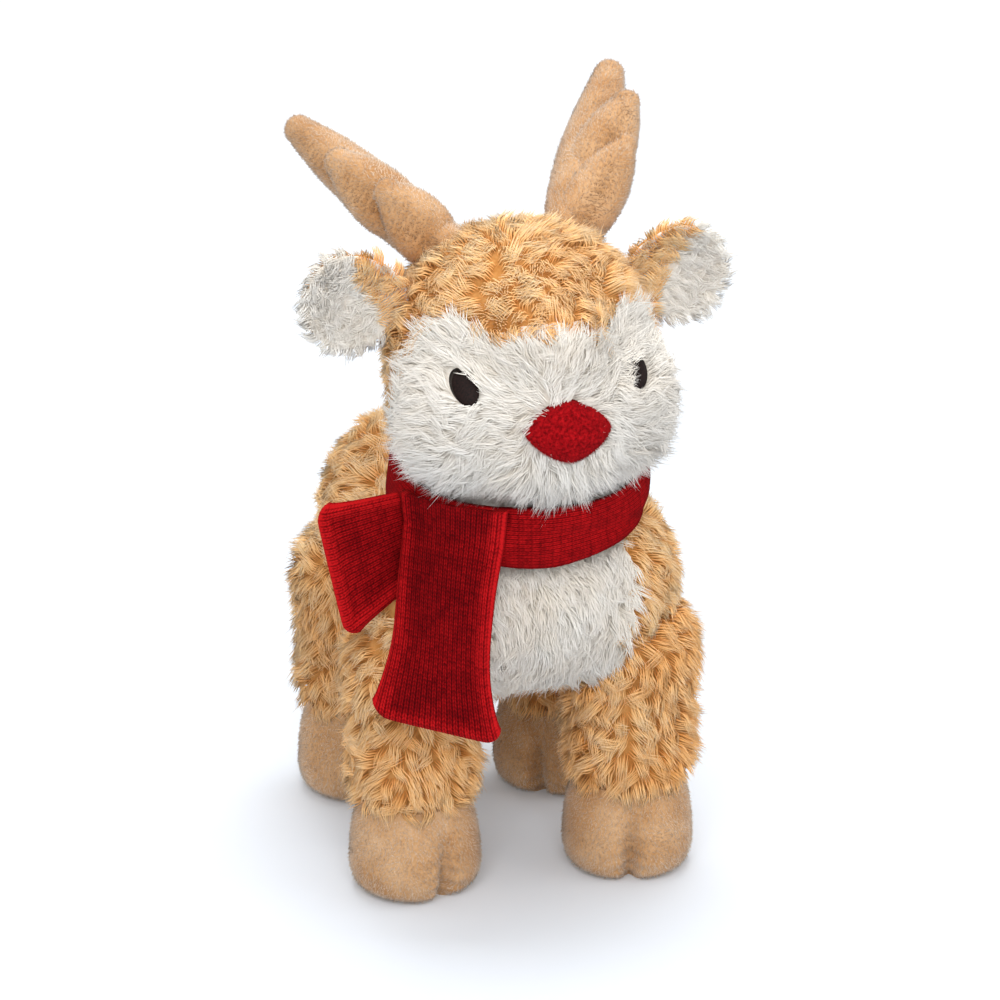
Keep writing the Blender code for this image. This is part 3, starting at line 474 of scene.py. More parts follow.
def brushed(directions, normals, turn):
    """Directions laid flat on the cloth and turned about its normal by angles."""
    flat = directions - normals * (directions * normals).sum(axis=1, keepdims=True)
    flat = unit(flat + 1e-9)
    side = np.cross(normals, flat)
    return flat * np.cos(turn)[:, None] + side * np.sin(turn)[:, None]


# %% [markdown]
# ## A tuft
# The strands of one tuft start in a small disc, set out like sunflower seeds. They lean the
# same way and bend over towards their tips, so a tuft ends in a blunt pale edge over the
# dark roots of the next one. Each kind of cloth is a short table: how long its pile is, how
# far it leans and how much its tufts wander.

# %% Tufts of pile
ROOT_SINK = 0.0006
ROSETTE = {
    "spacing": 0.0048, "radius": 0.0028, "strands": 21, "length": 0.0080, "width": 0.00042,
    "lean": 43, "wander": 52, "gather": 0.04, "curl": 0.24, "uneven": 0.08, "puff": 0.85,
}
STRAIGHT = {
    "spacing": 0.0024, "radius": 0.0019, "strands": 12, "length": 0.0095, "width": 0.00033,
    "lean": 58, "wander": 22, "gather": 0.22, "curl": 0.18, "uneven": 0.11, "puff": 0.35,
}


def grow(name, cloth, places, normals, flow, shade, material, seed, clear=None,
         longer=1.0, upright=0.0):
    """Grow tufts of a cloth at places, without the strands for which clear is true.

    Longer scales each tuft's length, and upright takes a share off its lean.

    Root = place + disc offset. Middle = root + half a length between the normal and the
    lean. Tip = middle + half a length past the lean, drawn in towards the tuft's own line."""
    chance = np.random.default_rng(seed)
    tufts, each = len(places), cloth["strands"]
    wander = np.radians(cloth["wander"]) * chance.normal(size=tufts)
    heading = brushed(flow, normals, wander)
    sideways = np.cross(normals, heading)
    disc_radius = cloth["radius"] * np.sqrt((np.arange(each) + 0.5) / each)
    disc_turn = np.arange(each) * GOLDEN_ANGLE + chance.uniform(0, 2 * np.pi, tufts)[:, None]
    forward = (disc_radius * np.cos(disc_turn))[..., None] * heading[:, None]
    offset = forward + (disc_radius * np.sin(disc_turn))[..., None] * sideways[:, None]
    tuft_lean = (cloth["lean"] + 7 * chance.normal(size=tufts)) * (1 - upright)
    lean = np.radians(tuft_lean)[:, None]
    length = (longer * cloth["length"] * (1 + 0.10 * chance.normal(size=tufts)))[:, None]
    length = length * (1 + cloth["uneven"] * chance.normal(size=(tufts, each)))
    lean = lean + np.radians(5) * chance.normal(size=(tufts, each))
    up, over = normals[:, None], heading[:, None]
    half = (length / 2)[..., None]
    rise = half * (up * np.cos(0.5 * lean)[..., None] + over * np.sin(0.5 * lean)[..., None])
    fall = half * (up * np.cos(1.3 * lean)[..., None] + over * np.sin(1.3 * lean)[..., None])
    swing = (cloth["curl"] * chance.normal(size=tufts))[:, None, None] * sideways[:, None]
    stray = cloth["uneven"] * chance.normal(size=(tufts, each, 3)) * half
    root = places[:, None] + offset - up * ROOT_SINK
    middle = root + rise - offset * cloth["gather"] * 0.4 + swing * half * 0.4
    tip = middle + fall - offset * cloth["gather"] * 0.6 + swing * half * 1.6 + stray
    paths = np.stack((root, middle, tip), axis=2).reshape(-1, 3, 3)
    tuft_shade = shade + 0.12 * chance.normal(size=tufts)
    shades = tuft_shade[:, None] + 0.035 * chance.normal(size=(tufts, each))
    shades = np.clip(shades, 2 * SHADE_WIDTH, 1 - 2 * SHADE_WIDTH).ravel()
    taper = np.array((0.9, 1.0)) * cloth["width"]
    widths = taper * chance.uniform(0.8, 1.25, (len(paths), 1))
    outward = unit(up + cloth["puff"] * offset / cloth["radius"]).reshape(-1, 3)
    if clear is not None:
        kept = ~clear(paths)
        paths, widths, shades, outward = paths[kept], widths[kept], shades[kept], outward[kept]
    made = strand_mesh(name, paths, widths, shades, material, outward)
    print(name, tufts, "tufts,", len(paths), "strands")
    return made


# %% [markdown]
# ## Polyester pile
# Both pile cloths are polyester fibre: matt, with a faint silk from the side. The colour
# changes from root to tip, and each tuft is a little lighter or darker than the next. Two
# ramps hold the dark and the light case, and the strand's shade mixes them.

# %% Pile materials
def pile_material(name, dark, light, roughness, sheen=0.04):
    """Colour from root to tip along u, from the dark ramp to the light one along v."""
    material, output = new_material(name)
    tree = material.node_tree
    place = add(tree, "ShaderNodeUVMap", {"uv_map": "OFBake"})
    parts = add(tree, "ShaderNodeSeparateXYZ", links={0: place.outputs[0]})
    low = add(tree, "ShaderNodeValToRGB", links={0: parts.outputs[0]}, stops=dark)
    high = add(tree, "ShaderNodeValToRGB", links={0: parts.outputs[0]}, stops=light)
    colour = add(tree, "ShaderNodeMix", {"data_type": "RGBA"}, {
        0: parts.outputs[1], 6: low.outputs[0], 7: high.outputs[0]})
    shader = add(tree, "ShaderNodeBsdfPrincipled", {
        "Roughness": roughness, "Specular IOR Level": 0.15, "Sheen Weight": sheen,
        "Sheen Roughness": 0.5}, {"Base Color": colour.outputs[2]})
    tree.links.new(shader.outputs[0], output.inputs["Surface"])
    return material


TAN_PILE = pile_material(
    "polyester_rosette_pile_tan",
    ((0.0, "#BE702E"), (0.35, "#E6984C"), (0.7, "#FAB86E"), (1.0, "#FFCE96")),
    ((0.0, "#E8A058"), (0.35, "#FAC07C"), (0.7, "#FFD8A0"), (1.0, "#FFEBCC")),
    0.7,
)
CREAM_PILE = pile_material(
    "polyester_long_pile_cream",
    ((0.0, "#EADCC8"), (0.4, "#F0E4D2"), (0.8, "#F3E8D9"), (1.0, "#F5ECDF")),
    ((0.0, "#F6EEE2"), (0.4, "#FAF5EC"), (0.8, "#FCF8F1"), (1.0, "#FEFAF4")),
    0.65,
)

# %% [markdown]
# ## The cloth under the pile
# Under the strands lies the knitted backing, seen only as the colour deep between the
# tufts. It is the filled, stuffed form itself.

# %% Backing materials
def fibre_material(name, noise, stops, roughness, specular, bump=None):
    """Matt fibre: a noise of a scale and a detail sets its colour and its bump."""
    material, output = new_material(name)
    tree = material.node_tree
    place = add(tree, "ShaderNodeTexCoord")
    speck = add(tree, "ShaderNodeTexNoise", {"Scale": noise[0], "Detail": noise[1]},
                {"Vector": place.outputs["Object"]})
    colour = add(tree, "ShaderNodeValToRGB", links={0: speck.outputs[0]}, stops=stops)
    links = {"Base Color": colour.outputs[0]}
    if bump:
        relief = add(tree, "ShaderNodeBump", {"Strength": bump[0], "Distance": bump[1]},
                     {"Height": speck.outputs[0]})
        links["Normal"] = relief.outputs[0]
    shader = add(tree, "ShaderNodeBsdfPrincipled", {
        "Roughness": roughness, "Specular IOR Level": specular}, links)
    tree.links.new(shader.outputs[0], output.inputs["Surface"])
    return material


def backing_material(name, deep, pale):
    """Knitted polyester backing: mottled and matt, its patches as wide as a tuft."""
    return fibre_material(name, (1 / BACKING_PATCH, 3.0), ((0.35, deep), (0.65, pale)),
                          0.9, 0.15, (0.5, 0.0004))


PILE_DEPTH = 0.0050
BACKING_PATCH = 0.004
# The tan backing is the cloth's own tan, set darker as painted shade deep between the tufts.
TAN_BACKING_AND_SHADE = backing_material("knitted_backing_tan_and_shade", "#B47C40", "#D09A5C")
CREAM_BACKING = backing_material("knitted_backing_cream", "#EFE6DA", "#F8F3EB")


def placed(made, body, nodes):
    """Ride a piece on a body, as what stands for its solids."""
    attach(made, body)
    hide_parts(*nodes)
    return made


def stuffed(name, grid, poles, material, body, nodes):
    """A closed stuffed form that rides on a body and stands for its solids."""
    made = placed(closed_form(name, grid, poles, material), body, nodes)
    return made


# %% [markdown]
# ## Where the scarf lies
# The scarf goes round the neck as a tilted loop, and one of its ends sticks out at the
# deer's right. Pile under the cloth is pressed flat, so the pile has to know where that end
# lies before it grows.

# %% Scarf places
SCARF_RADIUS = 0.0460
SCARF_BAND = 0.023
SCARF_FOLD = 0.0075
SCARF_TILT_DEGREES = 7.5
NECK_MIDDLE = PIVOTS["head_turn"]


def scarf_ring(radius, around, height):
    """Points of the tilted loop; around is an angle from the front towards the deer's right."""
    flat = np.stack((-radius * np.sin(around), -radius * np.cos(around), 0 * around), axis=-1)
    flat[..., 2] = flat[..., 1] * math.tan(math.radians(SCARF_TILT_DEGREES)) + height
    return NECK_MIDDLE + flat


SIDE_LENGTH = 0.033
SIDE_WIDTHS = (0.036, 0.052)
SIDE_AROUND_DEGREES = 71
SIDE_FORWARD = 0.16
SIDE_DROOP_DEGREES = 17
SIDE_LEAN_DEGREES = 11
SIDE_RISE = -0.010
SIDE_OUT = 0.0010
SIDE_BACK = 0.0020
CLEAR_BEFORE = 0.012
CLEAR_BEHIND = 0.003
side_lean, side_droop = math.radians(SIDE_LEAN_DEGREES), math.radians(SIDE_DROOP_DEGREES)
side_turn = np.radians(float(SIDE_AROUND_DEGREES))
SIDE_ROOT = scarf_ring(SCARF_RADIUS + SCARF_FOLD / 2, side_turn, SIDE_RISE)
SIDE_ROOT = SIDE_ROOT + (-SIDE_OUT, SIDE_BACK, 0.0)
SIDE_RUN = unit(np.array((-math.cos(side_droop), -SIDE_FORWARD, -math.sin(side_droop))))
SIDE_WAY = unit(np.array((math.sin(side_lean), -math.sin(side_lean) / 2, -math.cos(side_lean))))
SIDE_FACING = unit(np.cross(SIDE_RUN, SIDE_WAY))


def under_side_end(paths):
    """True for strands that would come through the side end or stand in front of it."""
    beside = paths - SIDE_ROOT
    along, ahead = beside @ SIDE_RUN, beside @ SIDE_FACING
    across = np.abs(beside @ SIDE_WAY)
    near = (along > -CLEAR_BEFORE) & (along < SIDE_LENGTH)
    near &= (across < SIDE_WIDTHS[1] / 2) & (ahead > -CLEAR_BEHIND) & (ahead < CLEAR_BEFORE)
    return near.any(axis=1)


# %% [markdown]
# ## Body
# The body is one stuffed bag of tan cloth with a cream bib let into its chest. The pile
# points down and back on the flanks. Tufts that would grow inside a leg, under the neck or
# on the bib are left out.

# %% Body forms and pile
DOWN = np.array((0.0, 0.0, -1.0))
HIPS = {name: PIVOTS[name + "_leg_swing"] for name in
        ("front_left", "front_right", "rear_left", "rear_right")}
LEG_RADIUS = 0.0265
NECK_RADIUS = 0.041
BIB_RISE = 0.0008


def inside_leg(points, shrink):
    """True where points lie inside a leg's column or the ball of its hip."""
    found = np.zeros(len(points), bool)
    for hip in HIPS.values():
        beside = points - hip
        across = np.hypot(beside[:, 0], beside[:, 1])
        ball = np.linalg.norm(beside, axis=1)
        found |= (np.where(beside[:, 2] < 0, across, ball)) < LEG_RADIUS - shrink
    return found


def two_tone(made, on_panel):
    """Give the part of a form that lies on the panel the cream backing."""
    made.data.materials.append(CREAM_BACKING)
    corners = np.empty(3 * len(made.data.polygons))
    made.data.polygons.foreach_get("center", corners)
    inside = on_panel(corners.reshape(-1, 3))
    made.data.polygons.foreach_set("material_index", inside.astype(np.int32))


trunk_grid, trunk_poles = lobed_grid(TRUNK, TRUNK_MIDDLE, PILE_DEPTH)
body = stuffed("body_form", trunk_grid, trunk_poles, TAN_BACKING_AND_SHADE, "trunk",
               ("body_cover", "body_stuffing"))
two_tone(body, lambda points: lobe_sum(points, BIB) > 1)
places, normals = even_places(trunk_grid, ROSETTE["spacing"])
on_bib = lobe_sum(places, BIB) > 1
at_neck = np.linalg.norm(places - PIVOTS["head_turn"], axis=1) < NECK_RADIUS - 0.004
keep = ~on_bib & ~at_neck & ~inside_leg(places, 0.006)
for side_name, half in (("left", places[:, 0] >= 0), ("right", places[:, 0] < 0)):
    chosen = keep & half
    spots, outward = places[chosen], normals[chosen]
    drift = DOWN + (0.0, 0.5, 0.0) + 0.9 * ripples(spots, 0.030, 11)
    shade = 0.76 + 0.18 * ripple(spots, 0.045, 14)
    pile = grow("body_pile_" + side_name, ROSETTE, spots, outward, drift, shade, TAN_PILE, 21,
                under_side_end)
    placed(pile, "trunk", ("body_cover",))

places, normals = even_places(trunk_grid, STRAIGHT["spacing"])
on_bib = lobe_sum(places, BIB) > 1
spots, outward = places[on_bib], normals[on_bib]
drift = DOWN + 0.45 * ripples(spots, 0.028, 15)
# The chest pile is set darker and warmer than the face: painted shade under the head and scarf.
shade = 0.50 + 0.20 * ripple(spots, 0.020, 18)
pile = grow("chest_pile", STRAIGHT, spots + outward * BIB_RISE, outward, drift, shade,
            CREAM_PILE, 22)
placed(pile, "trunk", ("chest_panel",))

# %% [markdown]
# ## Head and face
# The head is a second stuffed bag with a cream face let in: two tall brows, a dip between
# them and a full muzzle. The face's pile is brushed away from the nose to all sides, and
# over the brows it stands past the tan cloth in soft spikes.

# %% Head forms and pile
NOSE_AT = HEAD_MIDDLE + (0.0, -0.040, -0.016)
EYE_WIDTH = 0.0086
EYE_HEIGHT = 0.0110
EYE_SPACING = 0.066
EYE_DROP = 0.003
EYE_SHOWN_SHARES = ((-1, 0.76, 0.14), (1, 0.42, 0.52))
EYE_SHOWN_HEIGHT_SHARE = 0.90


def over_eyes(paths):
    """True for strands that would cross the bare part of an eye, seen from the front.

    The pile of the muzzle falls over the inner edge of each eye, so the bare oval is
    narrower than the eye and lies towards its outer edge."""
    found = np.zeros(len(paths), bool)
    between = (paths[:, 1:] + paths[:, :-1]) / 2
    paths = np.concatenate((paths, between), axis=1)
    for side, wide, shift in EYE_SHOWN_SHARES:
        middle = side * (EYE_SPACING + shift * EYE_WIDTH) / 2
        x = (paths[..., 0] - middle) / (wide * EYE_WIDTH / 2)
        z = (paths[..., 2] - HEAD_MIDDLE[2] + EYE_DROP) / (EYE_SHOWN_HEIGHT_SHARE * EYE_HEIGHT / 2)
        found |= (np.hypot(x, z) < 1).any(axis=1)
    return found


FACE_REACH = 0.0050
FACE_BACK = 0.002
FACE_SIDES = (0, 0.011, 0.018, 0.0213, 0.024, 0.029, 0.0355, 0.043, 0.048, 0.052, 0.055, 0.060)
FACE_TOPS = (0.0208, 0.0188, 0.0156, 0.0124, 0.0158, 0.0190, 0.0212, 0.0165, 0.0108, 0.0016,
             -0.013, -0.040)
CHIN_TOP = 0.022
CHIN_BOTTOM = 0.040
CHIN_LONGER = 0.20
CHIN_UPRIGHT = 0.45


def in_collar(points):
    """True low on the head, where the neck takes its place."""
    return np.linalg.norm(points - PIVOTS["head_turn"], axis=1) < NECK_RADIUS - 0.005


def on_face(points, reach=FACE_REACH):
    """True where pile of a reach, brushed away from the nose, ends on the face panel.

    The panel's upper line is a height for each distance from the middle plane: a ridge over
    the muzzle, a notch at each side of it, and a brow over each eye."""
    beside = points + unit(points - NOSE_AT) * reach - HEAD_MIDDLE
    line = np.interp(np.abs(beside[:, 0]), FACE_SIDES, FACE_TOPS)
    return (beside[:, 2] < line) & (beside[:, 1] < -FACE_BACK)


head_grid, head_poles = lobed_grid(HEAD, HEAD_MIDDLE, PILE_DEPTH)
head = stuffed("head_form", head_grid, head_poles, TAN_BACKING_AND_SHADE, "head",
               ("head_cover", "head_stuffing"))
two_tone(head, lambda points: on_face(points, 0.0))
places, normals = even_places(head_grid, ROSETTE["spacing"])
keep = ~on_face(places) & ~in_collar(places)
spots, outward = places[keep], normals[keep]
crown = HEAD_MIDDLE + (0.0, 0.050, 0.040)
drift = unit(spots - crown) + 0.8 * ripples(spots, 0.026, 31)
shade = 0.66 + 0.18 * ripple(spots, 0.035, 34)
pile = grow("head_pile", ROSETTE, spots, outward, drift, shade, TAN_PILE, 35)
placed(pile, "head", ("head_cover",))

places, normals = even_places(head_grid, STRAIGHT["spacing"])
keep = on_face(places) & ~in_collar(places)
for side_name, half in (("left", places[:, 0] >= 0), ("right", places[:, 0] < 0)):
    chosen = keep & half
    spots, outward = places[chosen], normals[chosen]
    drift = unit(spots - NOSE_AT) + 0.45 * ripples(spots, 0.024, 36)
    shade = 0.80 + 0.16 * ripple(spots, 0.022, 39)
    chin = (HEAD_MIDDLE[2] - CHIN_TOP - spots[:, 2]) / (CHIN_BOTTOM - CHIN_TOP)
    chin = np.clip(chin, 0, 1)
    pile = grow("face_pile_" + side_name, STRAIGHT, spots, outward, drift, shade, CREAM_PILE, 40,
                over_eyes, 1 + CHIN_LONGER * chin, CHIN_UPRIGHT * chin)
    placed(pile, "head", ("face_panel",))

# %% [markdown]
# ## Neck
# Between head and body sits the stuffed neck, almost hidden by the scarf. It is a plain
# ball, cream in front and tan behind, where a band of short pile shows over the scarf.

# %% Neck
neck_grid = PIVOTS["head_turn"] + ball_directions(36, 64) * (NECK_RADIUS - 0.001)
neck_ends = PIVOTS["head_turn"] + np.array(((0, 0, -1), (0, 0, 1))) * (NECK_RADIUS - 0.001)
neck = stuffed("neck_form", neck_grid, neck_ends, TAN_BACKING_AND_SHADE, "neck", ("neck",))
two_tone(neck, lambda points: points[:, 1] < PIVOTS["head_turn"][1] - NECK_RADIUS / 3)
NECK_FUR = dict(ROSETTE, length=0.0056, lean=58, width=0.00046, strands=14)
NECK_BAND = (0.002, 0.030)
spots, outward = even_places(neck_grid, NECK_FUR["spacing"])
beside = spots - PIVOTS["head_turn"]
keep = (beside[:, 1] > -NECK_RADIUS / 3)
keep &= (beside[:, 2] > NECK_BAND[0]) & (beside[:, 2] < NECK_BAND[1])
spots, outward = spots[keep], outward[keep]
drift = DOWN + 0.6 * ripples(spots, 0.02, 46)
pile = grow("neck_pile", NECK_FUR, spots, outward, drift, np.full(len(spots), 0.6), TAN_PILE, 49)
placed(pile, "neck", ("neck",))

# %% [markdown]
# ## Legs
# Each leg is a stuffed tube with a round top that sits in the body. Its surface is a turned
# one: a radius for each height, carried round the leg's axis. The pile hangs down, shaggier
# than elsewhere, and its last row falls over the top of the hoof.

# %% Legs
LEG_LENGTH = 0.054
HIP_RADIUS = 0.0275
LEG_HEIGHT_SHARES = (0.0, 0.06, 0.2, 0.6)
LEG_RADIUS_SHARES = (0.84, 0.95, 1.0, 0.99)
SHAGGY = dict(ROSETTE, length=0.0090, lean=42, wander=42, gather=0.16, curl=0.24, strands=22)


def leg_profile(inset):
    """Heights below and above the hip, and the radius at each, from the cuff to the top."""
    heights = [-LEG_LENGTH * (1 - share) for share in LEG_HEIGHT_SHARES]
    radii = [LEG_RADIUS * share - inset for share in LEG_RADIUS_SHARES]
    angles = np.linspace(0, np.pi / 2, 12)[:-1]
    heights += list((HIP_RADIUS - inset) * np.sin(angles))
    radii += list((HIP_RADIUS - inset) * np.cos(angles))
    return np.array(heights), np.array(radii)


def turned_grid(centre, heights, radii, rows, columns):
    """Rings of the profile's radius, evenly spaced along the profile, round a centre."""
    steps = np.hypot(np.diff(heights), np.diff(radii))
    run = np.append(0.0, np.cumsum(steps))
    even = np.linspace(0, run[-1], rows)
    height = np.interp(even, run, heights)
    radius = np.interp(even, run, radii)
    turn = 2 * np.pi * np.arange(columns) / columns
    ring = np.stack((np.cos(turn), np.sin(turn), 0 * turn), axis=1)
    grid = ring[None] * radius[:, None, None]
    grid[..., 2] = height[:, None]
    return centre + grid


for number, (name, hip) in enumerate(HIPS.items()):
    heights, radii = leg_profile(PILE_DEPTH)
    leg_grid = turned_grid(hip, heights, radii, 48, 56)
    leg_poles = hip + np.array(((0, 0, heights[0]), (0, 0, HIP_RADIUS - PILE_DEPTH)))
    stuffed(name + "_leg_form", leg_grid, leg_poles, TAN_BACKING_AND_SHADE, name + "_leg",
            (name + "_leg_cover", name + "_leg_stuffing"))
    spots, outward = even_places(leg_grid, ROSETTE["spacing"], 0.37 * number)
    keep = lobe_sum(spots, TRUNK) < 3
    spots, outward = spots[keep], outward[keep]
    drift = DOWN + 0.5 * ripples(spots, 0.022, 51)
    low = np.clip((hip[2] - spots[:, 2]) / LEG_LENGTH, 0, 1)
    # Lower down the leg the pile is painted darker: painted shade towards the floor.
    shade = 0.48 - 0.10 * low + 0.20 * ripple(spots, 0.030, 54)
    pile = grow(name + "_leg_pile", SHAGGY, spots, outward, drift, shade, TAN_PILE, 60 + number,
                under_side_end)
    placed(pile, name + "_leg", (name + "_leg_cover",))

# %% [markdown]
# ## Short-nap cloth
# Hooves and antlers are of velour, a cloth with a close coat of short fibres. The cloth
# itself is mottled, and a second material colours the spikes that stand on it.

# %% Short-nap material
def nap_material(name, deep, mid, pale):
    """Brushed velour: dark and pale flecks a millimetre long, and broad soft clouds."""
    material, output = new_material(name)
    tree = material.node_tree
    place = add(tree, "ShaderNodeTexCoord")
    fleck = add(tree, "ShaderNodeTexNoise", {"Scale": 900.0, "Detail": 3.0, "Roughness": 0.65},
                {"Vector": place.outputs["Object"]})
    cloud = add(tree, "ShaderNodeTexNoise", {"Scale": 60.0, "Detail": 2.0},
                {"Vector": place.outputs["Object"]})
    both = add(tree, "ShaderNodeMath", {"operation": "MULTIPLY_ADD", 1: 0.55},
               {0: cloud.outputs[0], 2: add(tree, "ShaderNodeMath", {
                   "operation": "MULTIPLY", 1: 0.45}, {0: fleck.outputs[0]}).outputs[0]})
    colour = add(tree, "ShaderNodeValToRGB", links={0: both.outputs[0]},
                 stops=((0.30, deep), (0.50, mid), (0.70, pale)))
    bump = add(tree, "ShaderNodeBump", {"Strength": 0.6, "Distance": 0.0003},
               {"Height": fleck.outputs[0]})
    shader = add(tree, "ShaderNodeBsdfPrincipled", {
        "Roughness": 0.85, "Specular IOR Level": 0.2, "Sheen Weight": 0.35,
        "Sheen Roughness": 0.4}, {"Base Color": colour.outputs[0], "Normal": bump.outputs[0]})
    tree.links.new(shader.outputs[0], output.inputs["Surface"])
    return material


NAP_CLOTH = nap_material("polyester_velour_beige", "#A2703F", "#C09468", "#D2AC84")
NAP_FIBRE = pile_material(
    "velour_nap_fibre",
    ((0.0, "#5E3214"), (1.0, "#B89470")),
    ((0.0, "#A87848"), (1.0, "#FCEEDC")),
    0.8, 0.08,
)

# %% [markdown]
# ## Hooves
# The hooves are stuffed hard, with a stitched cleft that draws the front in between two
# toes. Each ring is wider or longer as its height asks, and a bell curve round the front
# pulls the cleft in. The nap is a close coat of short spikes.

# %% Hooves
HOOF_HEIGHT = 0.038
HOOF_WIDTH = 0.050
HOOF_FRONT = 0.026
HOOF_BACK = 0.024
CLEFT_DEPTH = 0.0062
CLEFT_SPREAD_DEGREES = 7
TOE_DEPTH = 0.0022
TOE_SPREAD_DEGREES = 24
PUCKER = 0.00050
HOOF_TURN_DEGREES = {"front_left": -16, "front_right": 16, "rear_left": -36, "rear_right": -4}
HOOF_HEIGHT_SHARES = (0.0, 0.07, 0.22, 0.45, 0.75, 1.0)
HOOF_WIDTH_SHARES = (0.70, 0.88, 0.99, 1.0, 0.95, 0.84)
HOOF_REACH_SHARES = (0.72, 0.88, 1.0, 1.0, 0.90, 0.78)
HOOF_CLEFT_SHARES = (0.7, 1.0, 1.0, 0.75, 0.3, 0.0)
NAP_LENGTH = 0.0015
NAP_SPACING = 0.00090
NAP_WIDTH = 0.00048
NAP_LEAN_DEGREES = 60
NAP_SPREAD = 0.15
NAP_WANDER_DEGREES = 45
NAP_SWIRL = 0.014


def eased(places, stops, values):
    """A smooth curve through stops: cubic pieces whose slopes are those of the neighbours."""
    stops, values = np.array(stops), np.array(values)
    slopes = np.gradient(values, stops)
    index = np.clip(np.searchsorted(stops, places) - 1, 0, len(stops) - 2)
    width = stops[index + 1] - stops[index]
    t = (places - stops[index]) / width
    start = values[index] * (1 + 2 * t) * (1 - t) ** 2 + slopes[index] * width * t * (1 - t) ** 2
    end = values[index + 1] * t**2 * (3 - 2 * t) - slopes[index + 1] * width * t**2 * (1 - t)
    return start + end


def hoof_grid(centre, yaw, rows=44, columns=96):
    """Rings with unlike reach before and behind; a bell curve round the front is the cleft."""
    share = (1 - np.cos(np.linspace(0, np.pi, rows))) / 2
    turn = 2 * np.pi * np.arange(columns) / columns
    ahead, side = np.cos(turn), np.sin(turn)
    from_front = (turn + np.pi) % (2 * np.pi) - np.pi
    notch = np.exp(-((from_front / math.radians(CLEFT_SPREAD_DEGREES)) ** 2))
    wide = eased(share, HOOF_HEIGHT_SHARES, HOOF_WIDTH_SHARES)[:, None]
    reach = eased(share, HOOF_HEIGHT_SHARES, HOOF_REACH_SHARES)[:, None]
    cleft = eased(share, HOOF_HEIGHT_SHARES, HOOF_CLEFT_SHARES)[:, None]
    forward = ahead * np.where(ahead > 0, HOOF_FRONT * reach, HOOF_BACK * wide)
    valley = np.exp(-((from_front / math.radians(TOE_SPREAD_DEGREES)) ** 2))
    puckers = np.sin(share[:, None] * 42 + 5 * np.abs(from_front)) * valley
    forward = forward - (notch * CLEFT_DEPTH + valley * TOE_DEPTH + puckers * PUCKER) * cleft
    across = side * HOOF_WIDTH / 2 * wide
    x = across * math.cos(yaw) + forward * math.sin(yaw)
    y = across * math.sin(yaw) - forward * math.cos(yaw)
    z = np.broadcast_to(HOOF_HEIGHT * share[:, None], x.shape)
    return centre + np.stack((x, y, z), axis=-1)


def hoof_shade(p, yaw):
    """Pale toes and top, a darker band round the front at mid height, and painted shade in the
    cleft.
    """
    side = p[:, 0] * math.cos(yaw) + p[:, 1] * math.sin(yaw)
    ahead = p[:, 0] * math.sin(yaw) - p[:, 1] * math.cos(yaw)
    front = np.clip(ahead / HOOF_FRONT, 0, 1)
    height = p[:, 2] / HOOF_HEIGHT
    toes = 0.55 * np.exp(-(((height - 0.14) / 0.15) ** 2)) * front
    band = 0.30 * np.exp(-(((height - 0.42) / 0.16) ** 2)) * front
    # Painted shade in the cleft.
    cleft = 0.55 * np.exp(-((side / 0.0028) ** 2)) * front * np.clip(1.5 - 2 * height, 0, 1)
    return 0.72 + toes - band - cleft + 0.16 * ripple(p, 0.010, 5)


def spike_paths(places, normals, heading, lean, length, sink):
    """Root and tip of straight spikes that lean from the normal towards a heading."""
    tips = places + length * (normals * np.cos(lean) + heading * np.sin(lean))
    return np.stack((places - normals * sink, tips), axis=1)


def nap(name, grid, seed, flow, shade_of):
    """Short leaning spikes, each one closed with four triangles, all over a grid."""
    chance = np.random.default_rng(seed)
    places, normals = even_places(grid, NAP_SPACING)
    wander = np.radians(NAP_WANDER_DEGREES) * chance.normal(size=len(places))
    drift = flow + 0.8 * ripples(places, NAP_SWIRL, seed + 1)
    heading = brushed(drift, normals, wander)
    lean = np.radians(NAP_LEAN_DEGREES + 9 * chance.normal(size=len(places)))[:, None]
    length = NAP_LENGTH * (1 + 0.2 * chance.normal(size=(len(places), 1)))
    paths = spike_paths(places, normals, heading, lean, length, NAP_LENGTH / 4)
    shades = shade_of(places) + NAP_SPREAD * chance.normal(size=len(places))
    shades = np.clip(shades, 2 * SHADE_WIDTH, 1 - 2 * SHADE_WIDTH)
    widths = np.full((len(paths), 1), NAP_WIDTH)
    return strand_mesh(name, paths, widths, shades, NAP_FIBRE, normals)


for number, (name, hip) in enumerate(HIPS.items()):
    ground = hip * (1.0, 1.0, 0.0)
    yaw = math.radians(HOOF_TURN_DEGREES[name])
    grid = hoof_grid(ground, yaw)
    poles = ground + np.array(((0, 0, 0), (0, 0, HOOF_HEIGHT)))
    stuffed(name + "_hoof_form", grid, poles, NAP_CLOTH, name + "_leg",
            (name + "_hoof",))
    pile = nap(name + "_hoof_nap", grid[5:-6], 80 + 7 * number, DOWN,
               lambda p: hoof_shade(p - ground, yaw))
    placed(pile, name + "_leg", (name + "_hoof",))

# %% [markdown]
# ## Antlers
# An antler is three stuffed pads of short-nap cloth, sewn so that they overlap like
# shingles: a long beam and two tines in front of it. A pad is a round rod whose width
# follows a curve from root to tip, with a puckered furrow down its front.

